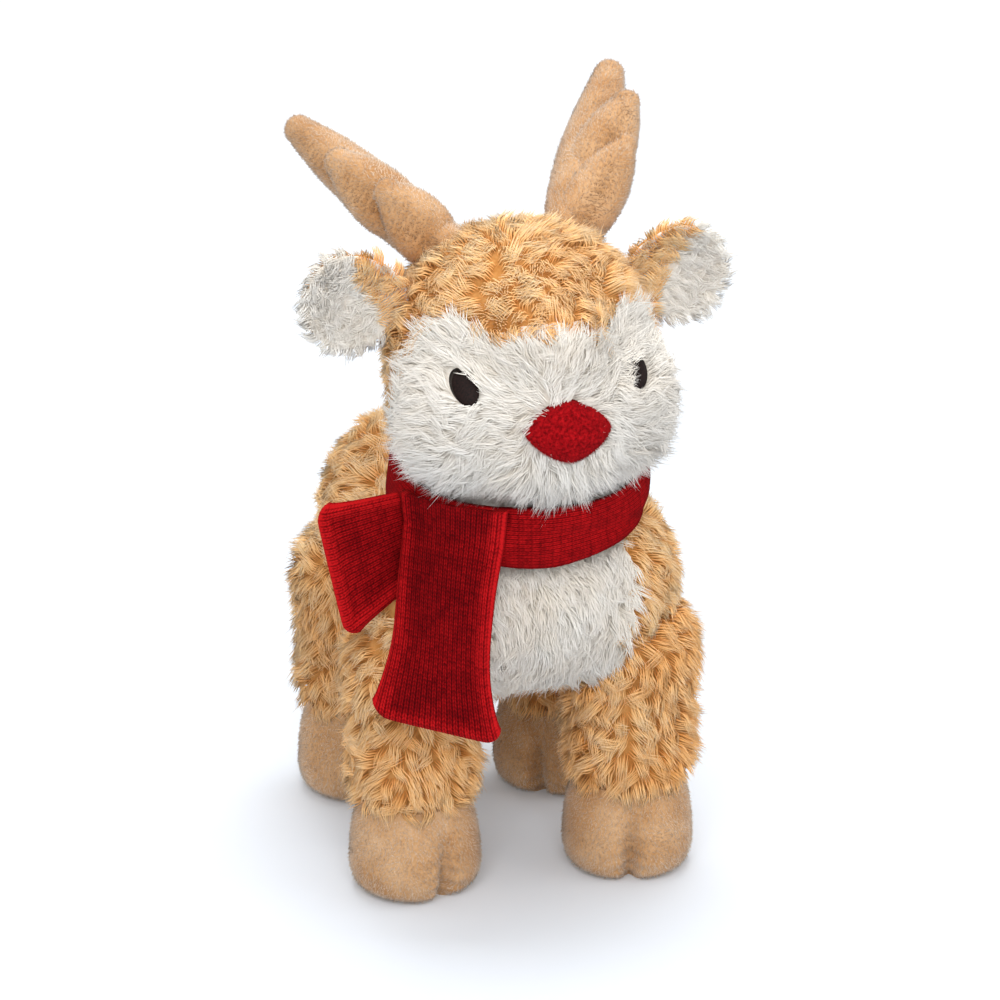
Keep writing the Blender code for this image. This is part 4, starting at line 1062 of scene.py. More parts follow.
# %% Antlers
ANTLER_LENGTH = 0.081
ANTLER_SPREAD_DEGREES = {"left": 37, "right": 51}
ANTLER_SWEEP_DEGREES = {"left": 47, "right": 56}
TINE_REACH = 0.014
PAD_STOPS = (0.0, 0.15, 0.45, 0.8, 1.0)
BEAM_RADII = {"left": (0.0104, 0.0120, 0.0126, 0.0090, 0.0058),
              "right": (0.0100, 0.0108, 0.0108, 0.0086, 0.0056)}
TINE_RADII = (0.0096, 0.0112, 0.0116, 0.0088, 0.0058)
BEAM_SHARES = (-0.04, 1.02)
UPPER_TINE_SHARES = {"left": (0.30, 0.72), "right": (0.22, 0.59)}
LOWER_TINE_SHARES = {"left": (0.02, 0.47), "right": (0.0, 0.27)}
BEAM_ASIDE = 0.0012
UPPER_TINE_ASIDE = 0.0018
LOWER_TINE_ASIDE = 0.0042
FURROW = 0.20
FURROW_SPREAD = 0.42
FURROW_TURN = -0.2
FURROW_SHADE_ASIDE = -0.0020
PUCKER_STEP = 0.00055


def pad_grid(start, end, wide_way, thin_way, widths, furrow=0.0, rows=44, columns=72):
    """A rod with round ends: width eased between stops, rounded off at both ends.

    A furrow draws in its front along its length, with small puckers across it."""
    length = np.linalg.norm(end - start)
    along = (end - start) / length
    cap_angles = np.linspace(np.pi / 2, 0, 9)[1:]
    inner = np.linspace(0, 1, rows)
    half = eased(inner, PAD_STOPS, widths)
    back = widths[0] * np.sin(-cap_angles)
    front = length + widths[-1] * np.sin(cap_angles[::-1])
    place = np.concatenate((back[:-1], inner * length, front[1:]))
    radius = np.concatenate((widths[0] * np.cos(cap_angles[:-1]), half,
                             widths[-1] * np.cos(cap_angles[::-1][1:])))
    turn = 2 * np.pi * np.arange(columns) / columns
    ring = wide_way * np.cos(turn)[:, None] + thin_way * np.sin(turn)[:, None]
    from_front = (turn - FURROW_TURN + np.pi) % (2 * np.pi) - np.pi
    valley = np.exp(-((from_front / FURROW_SPREAD) ** 2))
    puckers = 1 + 0.30 * np.sin(place[:, None] / PUCKER_STEP + 4 * np.abs(from_front))
    fading = np.clip(1.1 - place / length, 0, 1)[:, None]
    reach = radius[:, None] * (1 - furrow * valley * puckers * fading)
    grid = start + along * place[:, None, None] + ring[None] * reach[..., None]
    poles = np.array((start - along * widths[0], end + along * widths[-1]))
    return grid, poles


def pad_shade(p, start, end, thin):
    """Pale at the pad's tip, with a painted sheen along its edges and painted shade in the furrow
    down its middle and towards its root, where the pads overlap.
    """
    length = np.linalg.norm(end - start)
    way = (end - start) / length
    share = (p - start) @ way / length
    beside = p - start - way * (share * length)[:, None]
    aside = np.abs(beside @ thin - FURROW_SHADE_ASIDE) / 0.011
    # Painted shade in the furrow and towards the root, and a painted sheen at the edges.
    furrow = 0.60 * np.exp(-((aside / 0.45) ** 2)) * np.clip(1.2 - share, 0, 1)
    rim = 0.55 * np.clip(aside, 0, 0.9) ** 2.5
    return 0.34 + 0.22 * np.clip(share, 0, 1.2) + rim - furrow + 0.14 * ripple(p, 0.008, 6)


def antler(word, side):
    """The three pads of one antler and their nap."""
    spread = math.radians(ANTLER_SPREAD_DEGREES[word])
    sweep = math.radians(ANTLER_SWEEP_DEGREES[word])
    rise = math.cos(sweep)
    beam = np.array((side * rise * math.sin(spread), math.sin(sweep), rise * math.cos(spread)))
    ahead = np.array((0.0, -1.0, 0.0))
    forward = unit(ahead - beam * ahead.dot(beam))
    thin = np.cross(beam, forward)
    base = PIVOTS[word + "_antler_flex"]
    pads = (
        ("beam", BEAM_SHARES, 0.0, 0.0, BEAM_RADII[word], BEAM_ASIDE),
        ("upper_tine", UPPER_TINE_SHARES[word], TINE_REACH * 0.20, TINE_REACH, TINE_RADII,
         UPPER_TINE_ASIDE),
        ("lower_tine", LOWER_TINE_SHARES[word], TINE_REACH * 0.10, TINE_REACH, TINE_RADII,
         LOWER_TINE_ASIDE),
    )
    for number, (pad, shares, first, last, radii, aside) in enumerate(pads):
        start = base + beam * ANTLER_LENGTH * shares[0] + forward * first
        end = base + beam * ANTLER_LENGTH * shares[1] + forward * last
        end = end + thin * aside
        grid, poles = pad_grid(start, end, forward, thin, radii, FURROW)
        name = "%s_antler_%s" % (word, pad)
        stuffed(name, grid, poles, NAP_CLOTH, word + "_antler",
                (word + "_antler_cover", word + "_antler_stuffing"))
        pile = nap(name + "_nap", grid, 120 + 10 * number, beam,
                   lambda p: pad_shade(p, start, end, thin))
        placed(pile, word + "_antler", (word + "_antler_cover",))


antler("left", 1)
antler("right", -1)

# %% [markdown]
# ## Ears
# Each ear is a leaf of two layers, tan behind and cream in front, sewn round its rim and
# turned out, so that the cream pile stands past the rim. The leaf is a dished egg.

# %% Ears
EAR_LENGTH = 0.042
EAR_HEIGHT = 0.045
EAR_BACK = 0.006
EAR_LINING = 0.005
EAR_CUP = 0.006
EAR_RIM_SHARE = 0.4
EAR_ROOT_HEIGHT_SHARE = 0.72
EAR_EGG_SHARE = 0.36
EAR_PILE = 0.0030
EAR_CREAM = dict(STRAIGHT, length=0.0060, lean=44, wander=34, spacing=0.0021, width=0.00036,
                 strands=12, uneven=0.10, puff=0.6)
EAR_TAN = dict(ROSETTE, length=0.0060, lean=40, radius=0.0025, spacing=0.0035, strands=22)
EAR_TAN_SHARES = {"left": 0.44, "right": 0.30}
EAR_TAN_SLOPE = 0.55
EAR_BACK_ROWS = 19
EAR_BACK_REACH = 1.07


def ear_grid(root, side, depth, rows=20, columns=72):
    """One face of the leaf from its middle to its rim, at a depth behind its middle surface."""
    turn = 2 * np.pi * np.arange(columns) / columns
    share = np.linspace(0.03, 1, rows)[:, None]
    high = np.sin(turn) * (EAR_ROOT_HEIGHT_SHARE + EAR_EGG_SHARE * (1 - np.cos(turn)) / 2)
    out = (1 - np.cos(turn) * share) / 2
    cup = EAR_CUP * (1 - share**2)
    swell = EAR_RIM_SHARE + (1 - EAR_RIM_SHARE) * np.sqrt(1 - share**2)
    back = np.broadcast_to(cup + depth * swell, out.shape)
    length = EAR_LENGTH - EAR_PILE
    height = EAR_HEIGHT - 2 * EAR_PILE
    points = np.stack((side * out * length, back, high * share * height / 2), axis=-1)
    return root + points


def ear_share(points, root, side):
    """How far out a point lies from the leaf's middle, 1 at its rim."""
    across = 1 - 2 * side * (points[..., 0] - root[0]) / (EAR_LENGTH - EAR_PILE)
    egg = EAR_ROOT_HEIGHT_SHARE + EAR_EGG_SHARE * (1 - across) / 2
    high = 2 * (points[..., 2] - root[2]) / (EAR_HEIGHT - 2 * EAR_PILE) / egg
    return np.hypot(across, high)


def ear_fur(name, cloth, spots, outward, root, material, seed, clear=None):
    """Pile that fans away from the ear's root."""
    drift = unit(spots - root) + 0.35 * ripples(spots, 0.02, 71)
    shade = 0.85 + 0.12 * ripple(spots, 0.02, 74)
    return grow(name, cloth, spots, outward, drift, shade, material, seed, clear)


def ear(word, side):
    """The two layers of an ear, as one padded leaf for each cloth, and their pile.

    The tan cloth comes round the ear's root and upper edge to the front."""
    root = PIVOTS[word + "_ear_fold"]
    body, node = word + "_ear", word + "_ear_"
    forms = {}
    for layer, depth, inner, material, slot in (
        ("back", EAR_BACK - EAR_PILE, 0.0002, TAN_BACKING_AND_SHADE, "pile_cloth_tan"),
        ("lining", EAR_PILE - EAR_LINING, -0.0002, CREAM_BACKING, "pile_cloth_cream"),
    ):
        outer_face = ear_grid(root, side, depth)
        inner_face = ear_grid(root, side, inner)
        grid = np.concatenate((outer_face, inner_face[::-1]))
        if (depth > 0) == (side > 0):
            grid = grid[:, ::-1]
        poles = np.stack((outer_face[0].mean(axis=0), inner_face[0].mean(axis=0)))
        stuffed(node + layer + "_form", grid, poles, material, body, (node + layer,))
        rim = [ear_grid(root, side, depth * share)[-1:] for share in (0.5, 0.0, -0.6, -1.2)]
        forms[layer] = np.concatenate([outer_face] + rim)
    spots, outward = even_places(forms["back"][:EAR_BACK_ROWS], EAR_TAN["spacing"])
    outward = outward * np.sign(outward[:, 1].mean())
    pile = ear_fur(node + "back_pile", EAR_TAN, spots, outward, root, TAN_PILE, 75,
                   lambda paths: ear_share(paths[:, -1], root, side) > EAR_BACK_REACH)
    placed(pile, body, (node + "back",))
    for cloth, tan, colour in ((EAR_CREAM, False, CREAM_PILE), (EAR_TAN, True, TAN_PILE)):
        spots, outward = even_places(forms["lining"], cloth["spacing"])
        outward = -outward * np.sign(outward[:, 1].mean())
        out = side * (spots[:, 0] - root[0]) / EAR_LENGTH
        up = (spots[:, 2] - root[2]) / EAR_HEIGHT
        chosen = (out < EAR_TAN_SHARES[word] + EAR_TAN_SLOPE * up) == tan
        tone = "root_pile" if tan else "lining_pile"
        pile = ear_fur(node + tone, cloth, spots[chosen], outward[chosen], root, colour, 76)
        slot, stands_for = ("pile_cloth_tan", "back") if tan else ("pile_cloth_cream", "lining")
        placed(pile, body, (node + stands_for,))


ear("left", 1)
ear("right", -1)

# %% [markdown]
# ## Tail
# The tail isn't in the photograph. It is a short stuffed pad of the tan cloth, as such a toy
# has, and it points back and up.

# %% Tail
TAIL_LENGTH = 0.036
TAIL_LIFT_DEGREES = 25
TAIL_RADII = (0.0050, 0.0056, 0.0064, 0.0070, 0.0066)
TAIL_FUR = dict(ROSETTE, length=0.0085, lean=55, radius=0.0024, spacing=0.0042, strands=24)

tail_root = PIVOTS["tail_swing"]
lift = math.radians(TAIL_LIFT_DEGREES)
tail_way = np.array((0.0, math.cos(lift), math.sin(lift)))
tail_side = np.array((1.0, 0.0, 0.0))
tail_grid, tail_poles = pad_grid(tail_root, tail_root + tail_way * TAIL_LENGTH / 2, tail_side,
                                 np.cross(tail_way, tail_side), TAIL_RADII, 0.0, 24, 32)
stuffed("tail_form", tail_grid, tail_poles, TAN_BACKING_AND_SHADE, "tail", ("tail",))
spots, outward = even_places(tail_grid, TAIL_FUR["spacing"])
keep = lobe_sum(spots, TRUNK) < 1
pile = grow("tail_pile", TAIL_FUR, spots[keep], outward[keep], np.tile(tail_way, (keep.sum(), 1)),
            np.full(keep.sum(), 0.6), TAN_PILE, 91)
placed(pile, "tail", ("tail",))

# %% [markdown]
# ## Knitted cloth
# The scarf is a plain machine knit with columns of V-shaped stitches, the wales, about
# 1.8 mm apart. Each V is two slanting legs of yarn, so the height of the cloth is worked
# out from the place within a stitch: two rounded ridges in each wale, cut by a slanting
# wave. The edges roll forward a little, as a plain knit's do.

# %% Knit height and material
WALE = 0.00184
COURSE = 0.00150
YARN_RELIEF = 0.00052
STITCH_SLANT = 0.9


def knit_height(across, along):
    """Height of the yarn over the cloth, for places across and along the wales.

    In each half of a wale the legs of the stitches slant, so the phase along the wale
    grows with the distance from the wale's middle. Each leg is a rounded ridge."""
    from_middle = 2 * np.abs((across / WALE) % 1 - 0.5)
    phase = (along / COURSE - STITCH_SLANT * from_middle) % 1
    leg = np.sqrt(np.clip(1 - ((phase - 0.5) / 0.5) ** 2, 0, 1))
    column = 0.10 + 0.90 * np.clip(1 - np.abs(from_middle - 0.45) / 0.56, 0, 1) ** 0.6
    stitch = np.floor(across / WALE) * 12.9898 + np.floor(along / COURSE) * 78.233
    yarn = (np.sin(stitch) * 43758.5453) % 1
    return YARN_RELIEF * column * (0.12 + 0.66 * leg + 0.22 * yarn)


def knit_material(name):
    """Wool-like yarn: deep red in the grooves as painted shade, and brighter where the yarn stands
    up as painted light.
    """
    material, output = new_material(name)
    tree = material.node_tree
    place = add(tree, "ShaderNodeUVMap", {"uv_map": "knit"})
    parts = add(tree, "ShaderNodeSeparateXYZ", links={0: place.outputs[0]})
    spot = add(tree, "ShaderNodeTexCoord")
    fuzz = add(tree, "ShaderNodeTexNoise", {"Scale": 1400.0, "Detail": 2.0},
               {"Vector": spot.outputs["Object"]})
    cloud = add(tree, "ShaderNodeTexNoise", {"Scale": 90.0, "Detail": 2.0},
                {"Vector": spot.outputs["Object"]})
    lit = add(tree, "ShaderNodeMath", {"operation": "MULTIPLY_ADD", 1: 0.35, 2: -0.17},
              {0: fuzz.outputs[0]})
    total = add(tree, "ShaderNodeMath", {"operation": "ADD"},
                {0: parts.outputs[0], 1: lit.outputs[0]})
    drift = add(tree, "ShaderNodeMath", {"operation": "MULTIPLY_ADD", 1: 0.30, 2: -0.15},
                {0: cloud.outputs[0]})
    level = add(tree, "ShaderNodeMath", {"operation": "ADD"},
                {0: total.outputs[0], 1: drift.outputs[0]})
    # Low levels are painted shade in the grooves, high levels painted light on the yarn.
    colour = add(tree, "ShaderNodeValToRGB", links={0: level.outputs[0]}, stops=(
        (0.0, "#240103"), (0.35, "#500307"), (0.65, "#7C070C"), (1.0, "#B61519")))
    bump = add(tree, "ShaderNodeBump", {"Strength": 0.4, "Distance": 0.0002},
               {"Height": fuzz.outputs[0]})
    shader = add(tree, "ShaderNodeBsdfPrincipled", {
        "Roughness": 0.95, "Specular IOR Level": 0.05, "Sheen Weight": 0.08,
        "Sheen Tint": linear("#E03028"), "Sheen Roughness": 0.5},
        {"Base Color": colour.outputs[0], "Normal": bump.outputs[0]})
    tree.links.new(shader.outputs[0], output.inputs["Surface"])
    return material


KNIT_YARN = knit_material("acrylic_plain_knit_red")


def knit_mesh(name, grid, height, level, closed):
    """A closed mesh over a grid whose columns run round the cloth, with its colour level as u: the
    yarn's height, with painted light added.
    """
    rows, columns = grid.shape[:2]
    points = (grid + grid_normals(grid) * height[..., None]).reshape(-1, 3)
    cell = np.arange(rows * columns).reshape(rows, columns)
    upper = np.roll(cell, -1, axis=0) if closed else cell[1:]
    lower = cell if closed else cell[:-1]
    after = [np.roll(row, -1, axis=1) for row in (lower, upper)]
    faces = [np.stack((lower, *after, upper), axis=-1).reshape(-1, 4)]
    if not closed:
        near = np.arange(columns // 2 - 1)
        far = columns - 1 - near
        top = (rows - 1) * columns
        faces.append(np.stack((near + 1, near, far, far - 1), axis=1))
        faces.append(top + np.stack((near, near + 1, far - 1, far), axis=1))
    loops = np.concatenate(faces).ravel()
    made = finish_mesh(name, points, loops, np.full(len(loops) // 4, 4), KNIT_YARN)
    layer = made.data.uv_layers.new(name="knit")
    level = level.reshape(-1)
    place = np.stack((level, np.zeros_like(level)), axis=1)[loops]
    layer.data.foreach_set("uv", place.astype(np.float32).ravel())
    return made


# %% [markdown]
# ## Scarf loop
# The scarf's middle goes round the neck folded lengthwise. Its section is a flat hoop, and
# the wales run along it. The loop is tipped forward, lower at the throat.

# %% Scarf loop
FRONT_ROWS = 380
REAR_ROWS = 60
FRONT_TURN = 0.58
LOOP_CREASE = 0.0010
LOOP_PULL = 0.0007
WALE_STEPS = 6
LOOP_DRAWN = 0.30
LOOP_PAINTED_LIGHT = 0.20


def scarf_loop():
    """A hoop section of two flat sides and round folds, swept round the neck.

    Its rows lie close together in front, where the stitches show. Slow waves along it
    make its folds, and a slanting one is where the cloth is pulled towards the knot."""
    wales = int((SCARF_BAND + SCARF_FOLD) / WALE)
    outer = wales * WALE_STEPS
    inner = outer // 2
    edge = FRONT_TURN * np.pi
    front = np.linspace(-edge, edge, FRONT_ROWS)
    rear = np.linspace(edge, 2 * np.pi - edge, REAR_ROWS + 2)[1:-1]
    around = np.concatenate((front, rear))[:, None]
    share = np.concatenate((1 - 2 * np.arange(outer) / outer, 2 * np.arange(inner) / inner - 1))
    swell = np.sqrt(1 - np.abs(share) ** 3)
    outside = np.concatenate((np.ones(outer), np.zeros(inner)))
    wide = SCARF_FOLD / 2 * swell * (2 * outside - 1)
    slack = 1 + 0.10 * np.sin(3 * around + 0.5) + 0.05 * np.sin(7 * around)
    crease = LOOP_CREASE * np.exp(-(((share - 0.15 - 0.55 * around) / 0.30) ** 2))
    pull = LOOP_PULL * np.sin(5 * around + 2.2 * share)
    radius = SCARF_RADIUS + wide * slack + (pull - crease) * swell * outside
    drawn = 1 - LOOP_DRAWN * np.clip(-np.sin(around), 0, 1) * (share < 0)
    high = SCARF_BAND / 2 * share * (1 + 0.05 * np.sin(4 * around + 1.0)) * drawn
    grid = scarf_ring(radius, np.broadcast_to(around, radius.shape), high)
    across = np.concatenate((np.arange(outer) * WALE / WALE_STEPS, np.zeros(inner)))
    across = np.broadcast_to(across, radius.shape)
    along = np.broadcast_to(around * SCARF_RADIUS, radius.shape)
    height = knit_height(across, along) * outside
    # The loop's colour is raised by a painted light, against the shade of the chin above it.
    made = knit_mesh("scarf_loop_cloth", grid, height, height / YARN_RELIEF + LOOP_PAINTED_LIGHT, True)
    return placed(made, "trunk", ("scarf_loop",))


loop_cloth = scarf_loop()

# %% [markdown]
# ## Scarf ends
# One end hangs down in front, drawn in at its middle and flared at its hem, and the other
# sticks out at the side. Each is a sheet of cloth along a line of middles, with a width and
# a bend about its length. A plain knit rolls up at its edges, so all round the rim the cloth
# swells into a soft cord.

# %% Scarf ends
KNIT = 0.0030
EDGE_ROLL = 0.0028
EDGE_SWELL = 0.0017
CORNER_RADIUS = 0.0060
ROLL_PAINTED_HIGHLIGHT = 0.22
RIM_PAINTED_LIGHT = 0.42
RIM_PAINTED_LIGHT_REACH = 0.0008
RIM_ROUND = 0.0018
KNIT_HALF_SHARE = 0.32
FRONT_LENGTH = 0.083
FRONT_WIDTHS = (0.046, 0.039, 0.038, 0.048)
FRONT_WIDTH_STOPS = (0.0, 0.4, 0.65, 1.0)
FRONT_AROUND_DEGREES = 48
FRONT_FACING_DEGREES = (48, 24)
FRONT_LEAVING_DEGREES = 30
FRONT_BULGE = 0.017
FRONT_BEND = 0.0055
FRONT_SLANT = 0.010
FRONT_ROOM = 0.0010
FRONT_WAVE = 0.0012
FRONT_CORNER = 0.0010
FRONT_END_ROWS = 330
SIDE_CORNER = 0.0005
SIDE_END_ROWS = 130


def strip_cloth(name, middles, sides, halves, bends, corner, waves, body, node, lift=0.0):
    """A knitted strip: front and back rows of points round each cross-section.

    A point at share s of the half width lies bend times s squared behind the middle.
    Within the roll of the rim the cloth is thicker, and at the rim itself it closes."""
    rows = len(middles)
    wales = int(2 * halves.mean() / WALE)
    count = wales * WALE_STEPS + 1
    share = np.linspace(-1, 1, count)
    run = unit(np.gradient(middles, axis=0))
    facing = unit(np.cross(run, sides))
    steps = np.linalg.norm(np.diff(middles, axis=0), axis=1)
    along = np.append(0.0, np.cumsum(steps))[:, None]
    to_hem = along[-1] - along
    to_side = (1 - np.abs(share)) * halves[:, None]
    to_rim = np.minimum(to_side, to_hem)
    row = middles[:, None] + sides[:, None] * (share * halves[:, None])[..., None]
    row = row - facing[:, None] * (share**2 * bends[:, None] - waves)[..., None]
    inset = np.clip(CORNER_RADIUS - to_side, 0, CORNER_RADIUS)
    pulled = CORNER_RADIUS - np.sqrt(CORNER_RADIUS**2 - inset**2)
    pulled = (pulled + corner * share**6) * np.exp(-to_hem / (1.5 * CORNER_RADIUS))
    row = row - run[:, None] * pulled[..., None]
    roll = np.exp(-(((to_rim - EDGE_ROLL) / EDGE_ROLL) ** 2))
    cap = np.sqrt(np.clip(1 - (1 - np.clip(to_rim / RIM_ROUND, 0, 1)) ** 2, 0.02, 1))
    thick = (KNIT * KNIT_HALF_SHARE + EDGE_SWELL * roll) * cap
    front = row + facing[:, None] * thick[..., None]
    back = row - facing[:, None] * thick[..., None]
    grid = np.concatenate((front, back[:, ::-1]), axis=1)
    across = (share + 1) / 2 * wales * WALE
    height = knit_height(across[None], along)
    # The colour level carries painted light: a painted highlight on the roll, a brighter painted
    # light at the rim, and the lift given for the piece.
    level = height / YARN_RELIEF + ROLL_PAINTED_HIGHLIGHT * roll + lift
    level = level + RIM_PAINTED_LIGHT * np.exp(-((to_rim / RIM_PAINTED_LIGHT_REACH) ** 2))
    height = height * cap * (1 - 0.35 * roll)
    both = [np.concatenate((face, face[:, ::-1]), axis=1) for face in (height, level)]
    made = knit_mesh(name, grid, *both, False)
    placed(made, body, (node,))
    print(name, len(made.data.polygons), "faces")
    return made


def front_end():
    """The end that hangs in front: on the loop at first, then standing off the chest."""
    shares = np.linspace(0, 1, FRONT_END_ROWS)
    flat_share = SCARF_BAND / 2 / FRONT_LENGTH
    free = np.maximum(0, shares - flat_share) / (1 - flat_share)
    outer = SCARF_RADIUS + SCARF_FOLD / 2 + KNIT / 2 + FRONT_ROOM
    root = scarf_ring(outer, np.radians(float(FRONT_AROUND_DEGREES)), SCARF_BAND / 2)
    facing = np.radians(np.interp(free, (0, 1), FRONT_FACING_DEGREES))
    leaving = math.radians(FRONT_LEAVING_DEGREES)
    bulge = FRONT_BULGE * np.sin(free * np.pi / 2)
    middles = root + np.array((-math.sin(leaving), -math.cos(leaving), 0.0)) * bulge[:, None]
    middles[:, 2] -= FRONT_LENGTH * shares
    slant = FRONT_SLANT / FRONT_WIDTHS[-1] * shares
    sides = np.stack((np.cos(facing), -np.sin(facing), -slant), axis=1)
    halves = eased(shares, FRONT_WIDTH_STOPS, FRONT_WIDTHS) / 2
    bends = FRONT_BEND * (1 - free)
    waves = FRONT_WAVE * (free * np.sin(9 * free))[:, None]
    return strip_cloth("scarf_front_cloth", middles, sides, halves, bends, FRONT_CORNER, waves,
                       "scarf_front_end", "scarf_front_end")


def side_end():
    """The end that leaves the knot sideways and droops."""
    shares = np.linspace(0, 1, SIDE_END_ROWS)
    middles = SIDE_ROOT + SIDE_RUN * (SIDE_LENGTH * shares)[:, None]
    halves = np.interp(shares, (0, 1), SIDE_WIDTHS) / 2
    # The side end gets half the loop's painted light.
    return strip_cloth("scarf_side_cloth", middles, np.tile(SIDE_WAY, (len(shares), 1)), halves,
                       0 * shares, SIDE_CORNER, np.zeros((len(shares), 1)), "scarf_side_end",
                       "scarf_side_end", LOOP_PAINTED_LIGHT / 2)


FUZZ_LENGTH = 0.0015
FUZZ_WIDTH = 0.00014
FUZZ_LEAN_DEGREES = 55


def fuzz(made, body, node, spacing, seed):
    """Loose fibres that stand off a knitted piece, each a fine closed spike."""
    mesh = made.data
    centres = np.empty(3 * len(mesh.polygons))
    outward = np.empty(3 * len(mesh.polygons))
    areas = np.empty(len(mesh.polygons))
    mesh.polygons.foreach_get("center", centres)
    mesh.polygons.foreach_get("normal", outward)
    mesh.polygons.foreach_get("area", areas)
    chance = np.random.default_rng(seed)
    count = int(areas.sum() / spacing**2)
    chosen = chance.choice(len(areas), count, p=areas / areas.sum())
    places, normals = centres.reshape(-1, 3)[chosen], outward.reshape(-1, 3)[chosen]
    heading = brushed(chance.normal(size=places.shape), normals, np.zeros(count))
    lean = np.radians(FUZZ_LEAN_DEGREES + 15 * chance.normal(size=count))[:, None]
    length = FUZZ_LENGTH * chance.uniform(0.5, 1.5, (count, 1))
    paths = spike_paths(places, normals, heading, lean, length, FUZZ_WIDTH)
    shades = chance.uniform(0.1, 0.9, count)
    pile = strand_mesh(made.name.replace("cloth", "fuzz"), paths, np.full((count, 1), FUZZ_WIDTH),
                       shades, YARN_FIBRE, normals)
    placed(pile, body, (node,))


YARN_FIBRE = pile_material(
    "acrylic_yarn_fibre_red", ((0.0, "#5A0308"), (1.0, "#8E0A10")),
    ((0.0, "#8E0A10"), (1.0, "#C8242A")), 0.9, 0.0)
fuzz(loop_cloth, "trunk", "scarf_loop", 0.0024, 301)
fuzz(front_end(), "scarf_front_end", "scarf_front_end", 0.0017, 302)
fuzz(side_end(), "scarf_side_end", "scarf_side_end", 0.0017, 303)

# %% [markdown]
# ## Nose
# The nose is a stuffed pad of red felt, wide with a pointed left and right end, sewn on the
# muzzle. The felt's fibres stand up all over it, so it gets short spikes too.

# %% Nose
NOSE_WIDTH = 0.0325
NOSE_HEIGHT = 0.0225
NOSE_POINT = 1.45
NOSE_HEIGHTS = (-0.003, 0.0012, 0.0060)
NOSE_DROP = 0.016
MUZZLE_SEARCH = 0.12
FELT_SPACING = 0.00055
FELT_LENGTH = 0.0010
FELT_WIDTH = 0.0003


# Matt wool felt: a fine uneven red with darker specks.
RED_FELT = fibre_material(
    "wool_felt_red", (900.0, 3.0), ((0.35, "#6A060B"), (0.5, "#960A12"), (0.68, "#B0141A")),
    0.95, 0.05, (0.4, 0.0003))
FELT_FIBRE = pile_material(
    "wool_felt_fibre_red", ((0.0, "#5A0409"), (1.0, "#8C0810")),
    ((0.0, "#920A12"), (1.0, "#BE161C")), 0.95, 0.0)


def on_muzzle(x, z, height):
    """Points at a height in front of the head's melted skin, for offsets to the side and up."""
    start = np.stack((x, 0 * x, z), axis=-1) + HEAD_MIDDLE
    ahead = np.broadcast_to((0.0, -1.0, 0.0), start.shape)
    reach = np.zeros(x.shape)
    far = reach + MUZZLE_SEARCH
    for _ in range(HALVINGS):
        middle = (reach + far) / 2
        inside = lobe_sum(start + ahead * middle[..., None], HEAD) > 1
        reach = np.where(inside, middle, reach)
        far = np.where(inside, far, middle)
    return start + ahead * (reach + height)[..., None]


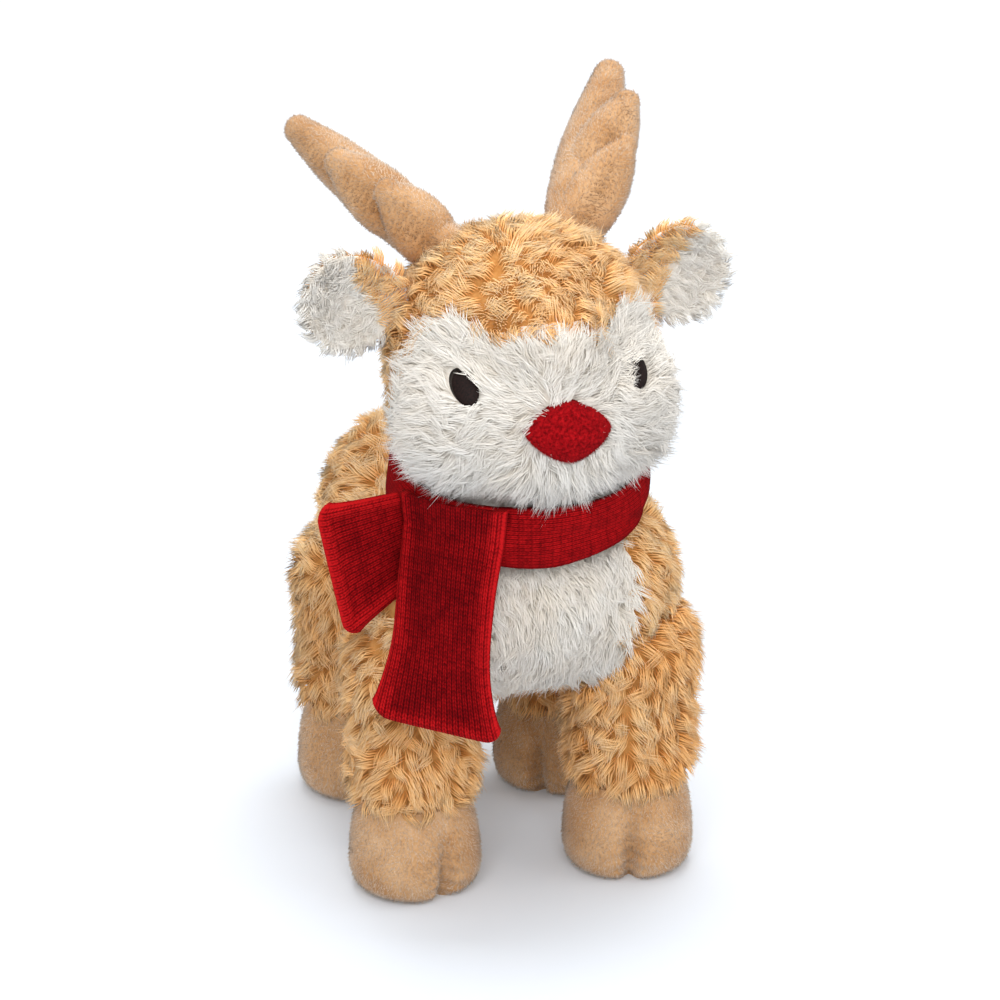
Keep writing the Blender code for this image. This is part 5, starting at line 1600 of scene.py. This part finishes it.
def nose():
    """Rings of a pointed oval from the crown out to the rim and back underneath."""
    turn = 2 * np.pi * np.arange(96) / 96
    side, up = np.cos(turn), np.sin(turn)
    level = (np.abs(side) ** NOSE_POINT + np.abs(up) ** NOSE_POINT) ** (-1 / NOSE_POINT)
    share = np.sin(np.linspace(0.03, np.pi / 2, 26))[:, None]
    low, rim, crown = NOSE_HEIGHTS
    x = share * level * side * NOSE_WIDTH / 2
    z = share * level * up * NOSE_HEIGHT / 2 - NOSE_DROP
    top = rim + (crown - rim) * np.sqrt(np.clip(1 - share**2, 0, 1))
    front = on_muzzle(x, z, np.broadcast_to(top, x.shape))
    back = on_muzzle(x[::-2], z[::-2], np.full(x[::-2].shape, low))
    grid = np.concatenate((front, back))
    poles = np.stack((front[0].mean(axis=0), back[-1].mean(axis=0)))
    stuffed("nose_form", grid, poles, RED_FELT, "head", ("nose",))
    chance = np.random.default_rng(201)
    places, normals = even_places(front, FELT_SPACING)
    normals = np.where(normals[:, 1:2] > 0, -normals, normals)
    heading = brushed(chance.normal(size=places.shape), normals, np.zeros(len(places)))
    lean = np.radians(40 + 15 * chance.normal(size=len(places)))[:, None]
    paths = spike_paths(places, normals, heading, lean, FELT_LENGTH, FELT_WIDTH)
    shades = np.clip(0.5 + 0.2 * chance.normal(size=len(places)) + 0.25 * ripple(places, 0.006, 7),
                     0.01, 0.99)
    widths = np.full((len(paths), 1), FELT_WIDTH)
    pile = strand_mesh("nose_fibre", paths, widths, shades, FELT_FIBRE, normals)
    placed(pile, "head", ("nose",))


nose()

# %% [markdown]
# ## Eyes
# The eyes are embroidered: upright ovals of satin stitch in dark brown thread. Threads lie
# side by side across the oval, so the pad has a fine ridge for each.

# %% Eyes
THREAD = 0.0005
THREAD_RIDGE = 0.00012
EYE_DOME = 0.0016
EYE_SINK = 0.0022
EYE_UNDER = 0.006


# Rayon embroidery thread: nearly black brown with a soft shine.
DARK_THREAD = fibre_material(
    "rayon_embroidery_thread_dark", (1500.0, 2.0), ((0.3, "#0C0504"), (0.7, "#22110E")),
    0.6, 0.15)


def eye(word, side):
    """An oval dome whose height carries one rounded ridge for each thread."""
    turn = 2 * np.pi * np.arange(64) / 64
    share = np.sin(np.linspace(0.04, np.pi / 2, 24))[:, None]
    x = share * np.cos(turn) * EYE_WIDTH / 2
    z = share * np.sin(turn) * EYE_HEIGHT / 2
    dome = EYE_DOME * np.sqrt(np.clip(1 - share**2, 0, 1))
    ridges = THREAD_RIDGE * np.abs(np.sin(np.pi * (z + 0.3 * x) / THREAD))
    spot_x, spot_z = x + side * EYE_SPACING / 2, z - EYE_DROP
    front = on_muzzle(spot_x, spot_z, dome + ridges - EYE_SINK)
    back = on_muzzle(spot_x[::-3], spot_z[::-3], np.full(spot_x[::-3].shape, -EYE_UNDER))
    grid = np.concatenate((front, back))
    poles = np.stack((front[0].mean(axis=0), back[-1].mean(axis=0)))
    made = closed_form(word + "_eye_stitches", grid, poles, DARK_THREAD)
    placed(made, "head", (word + "_eye",))


eye("left", 1)
eye("right", -1)
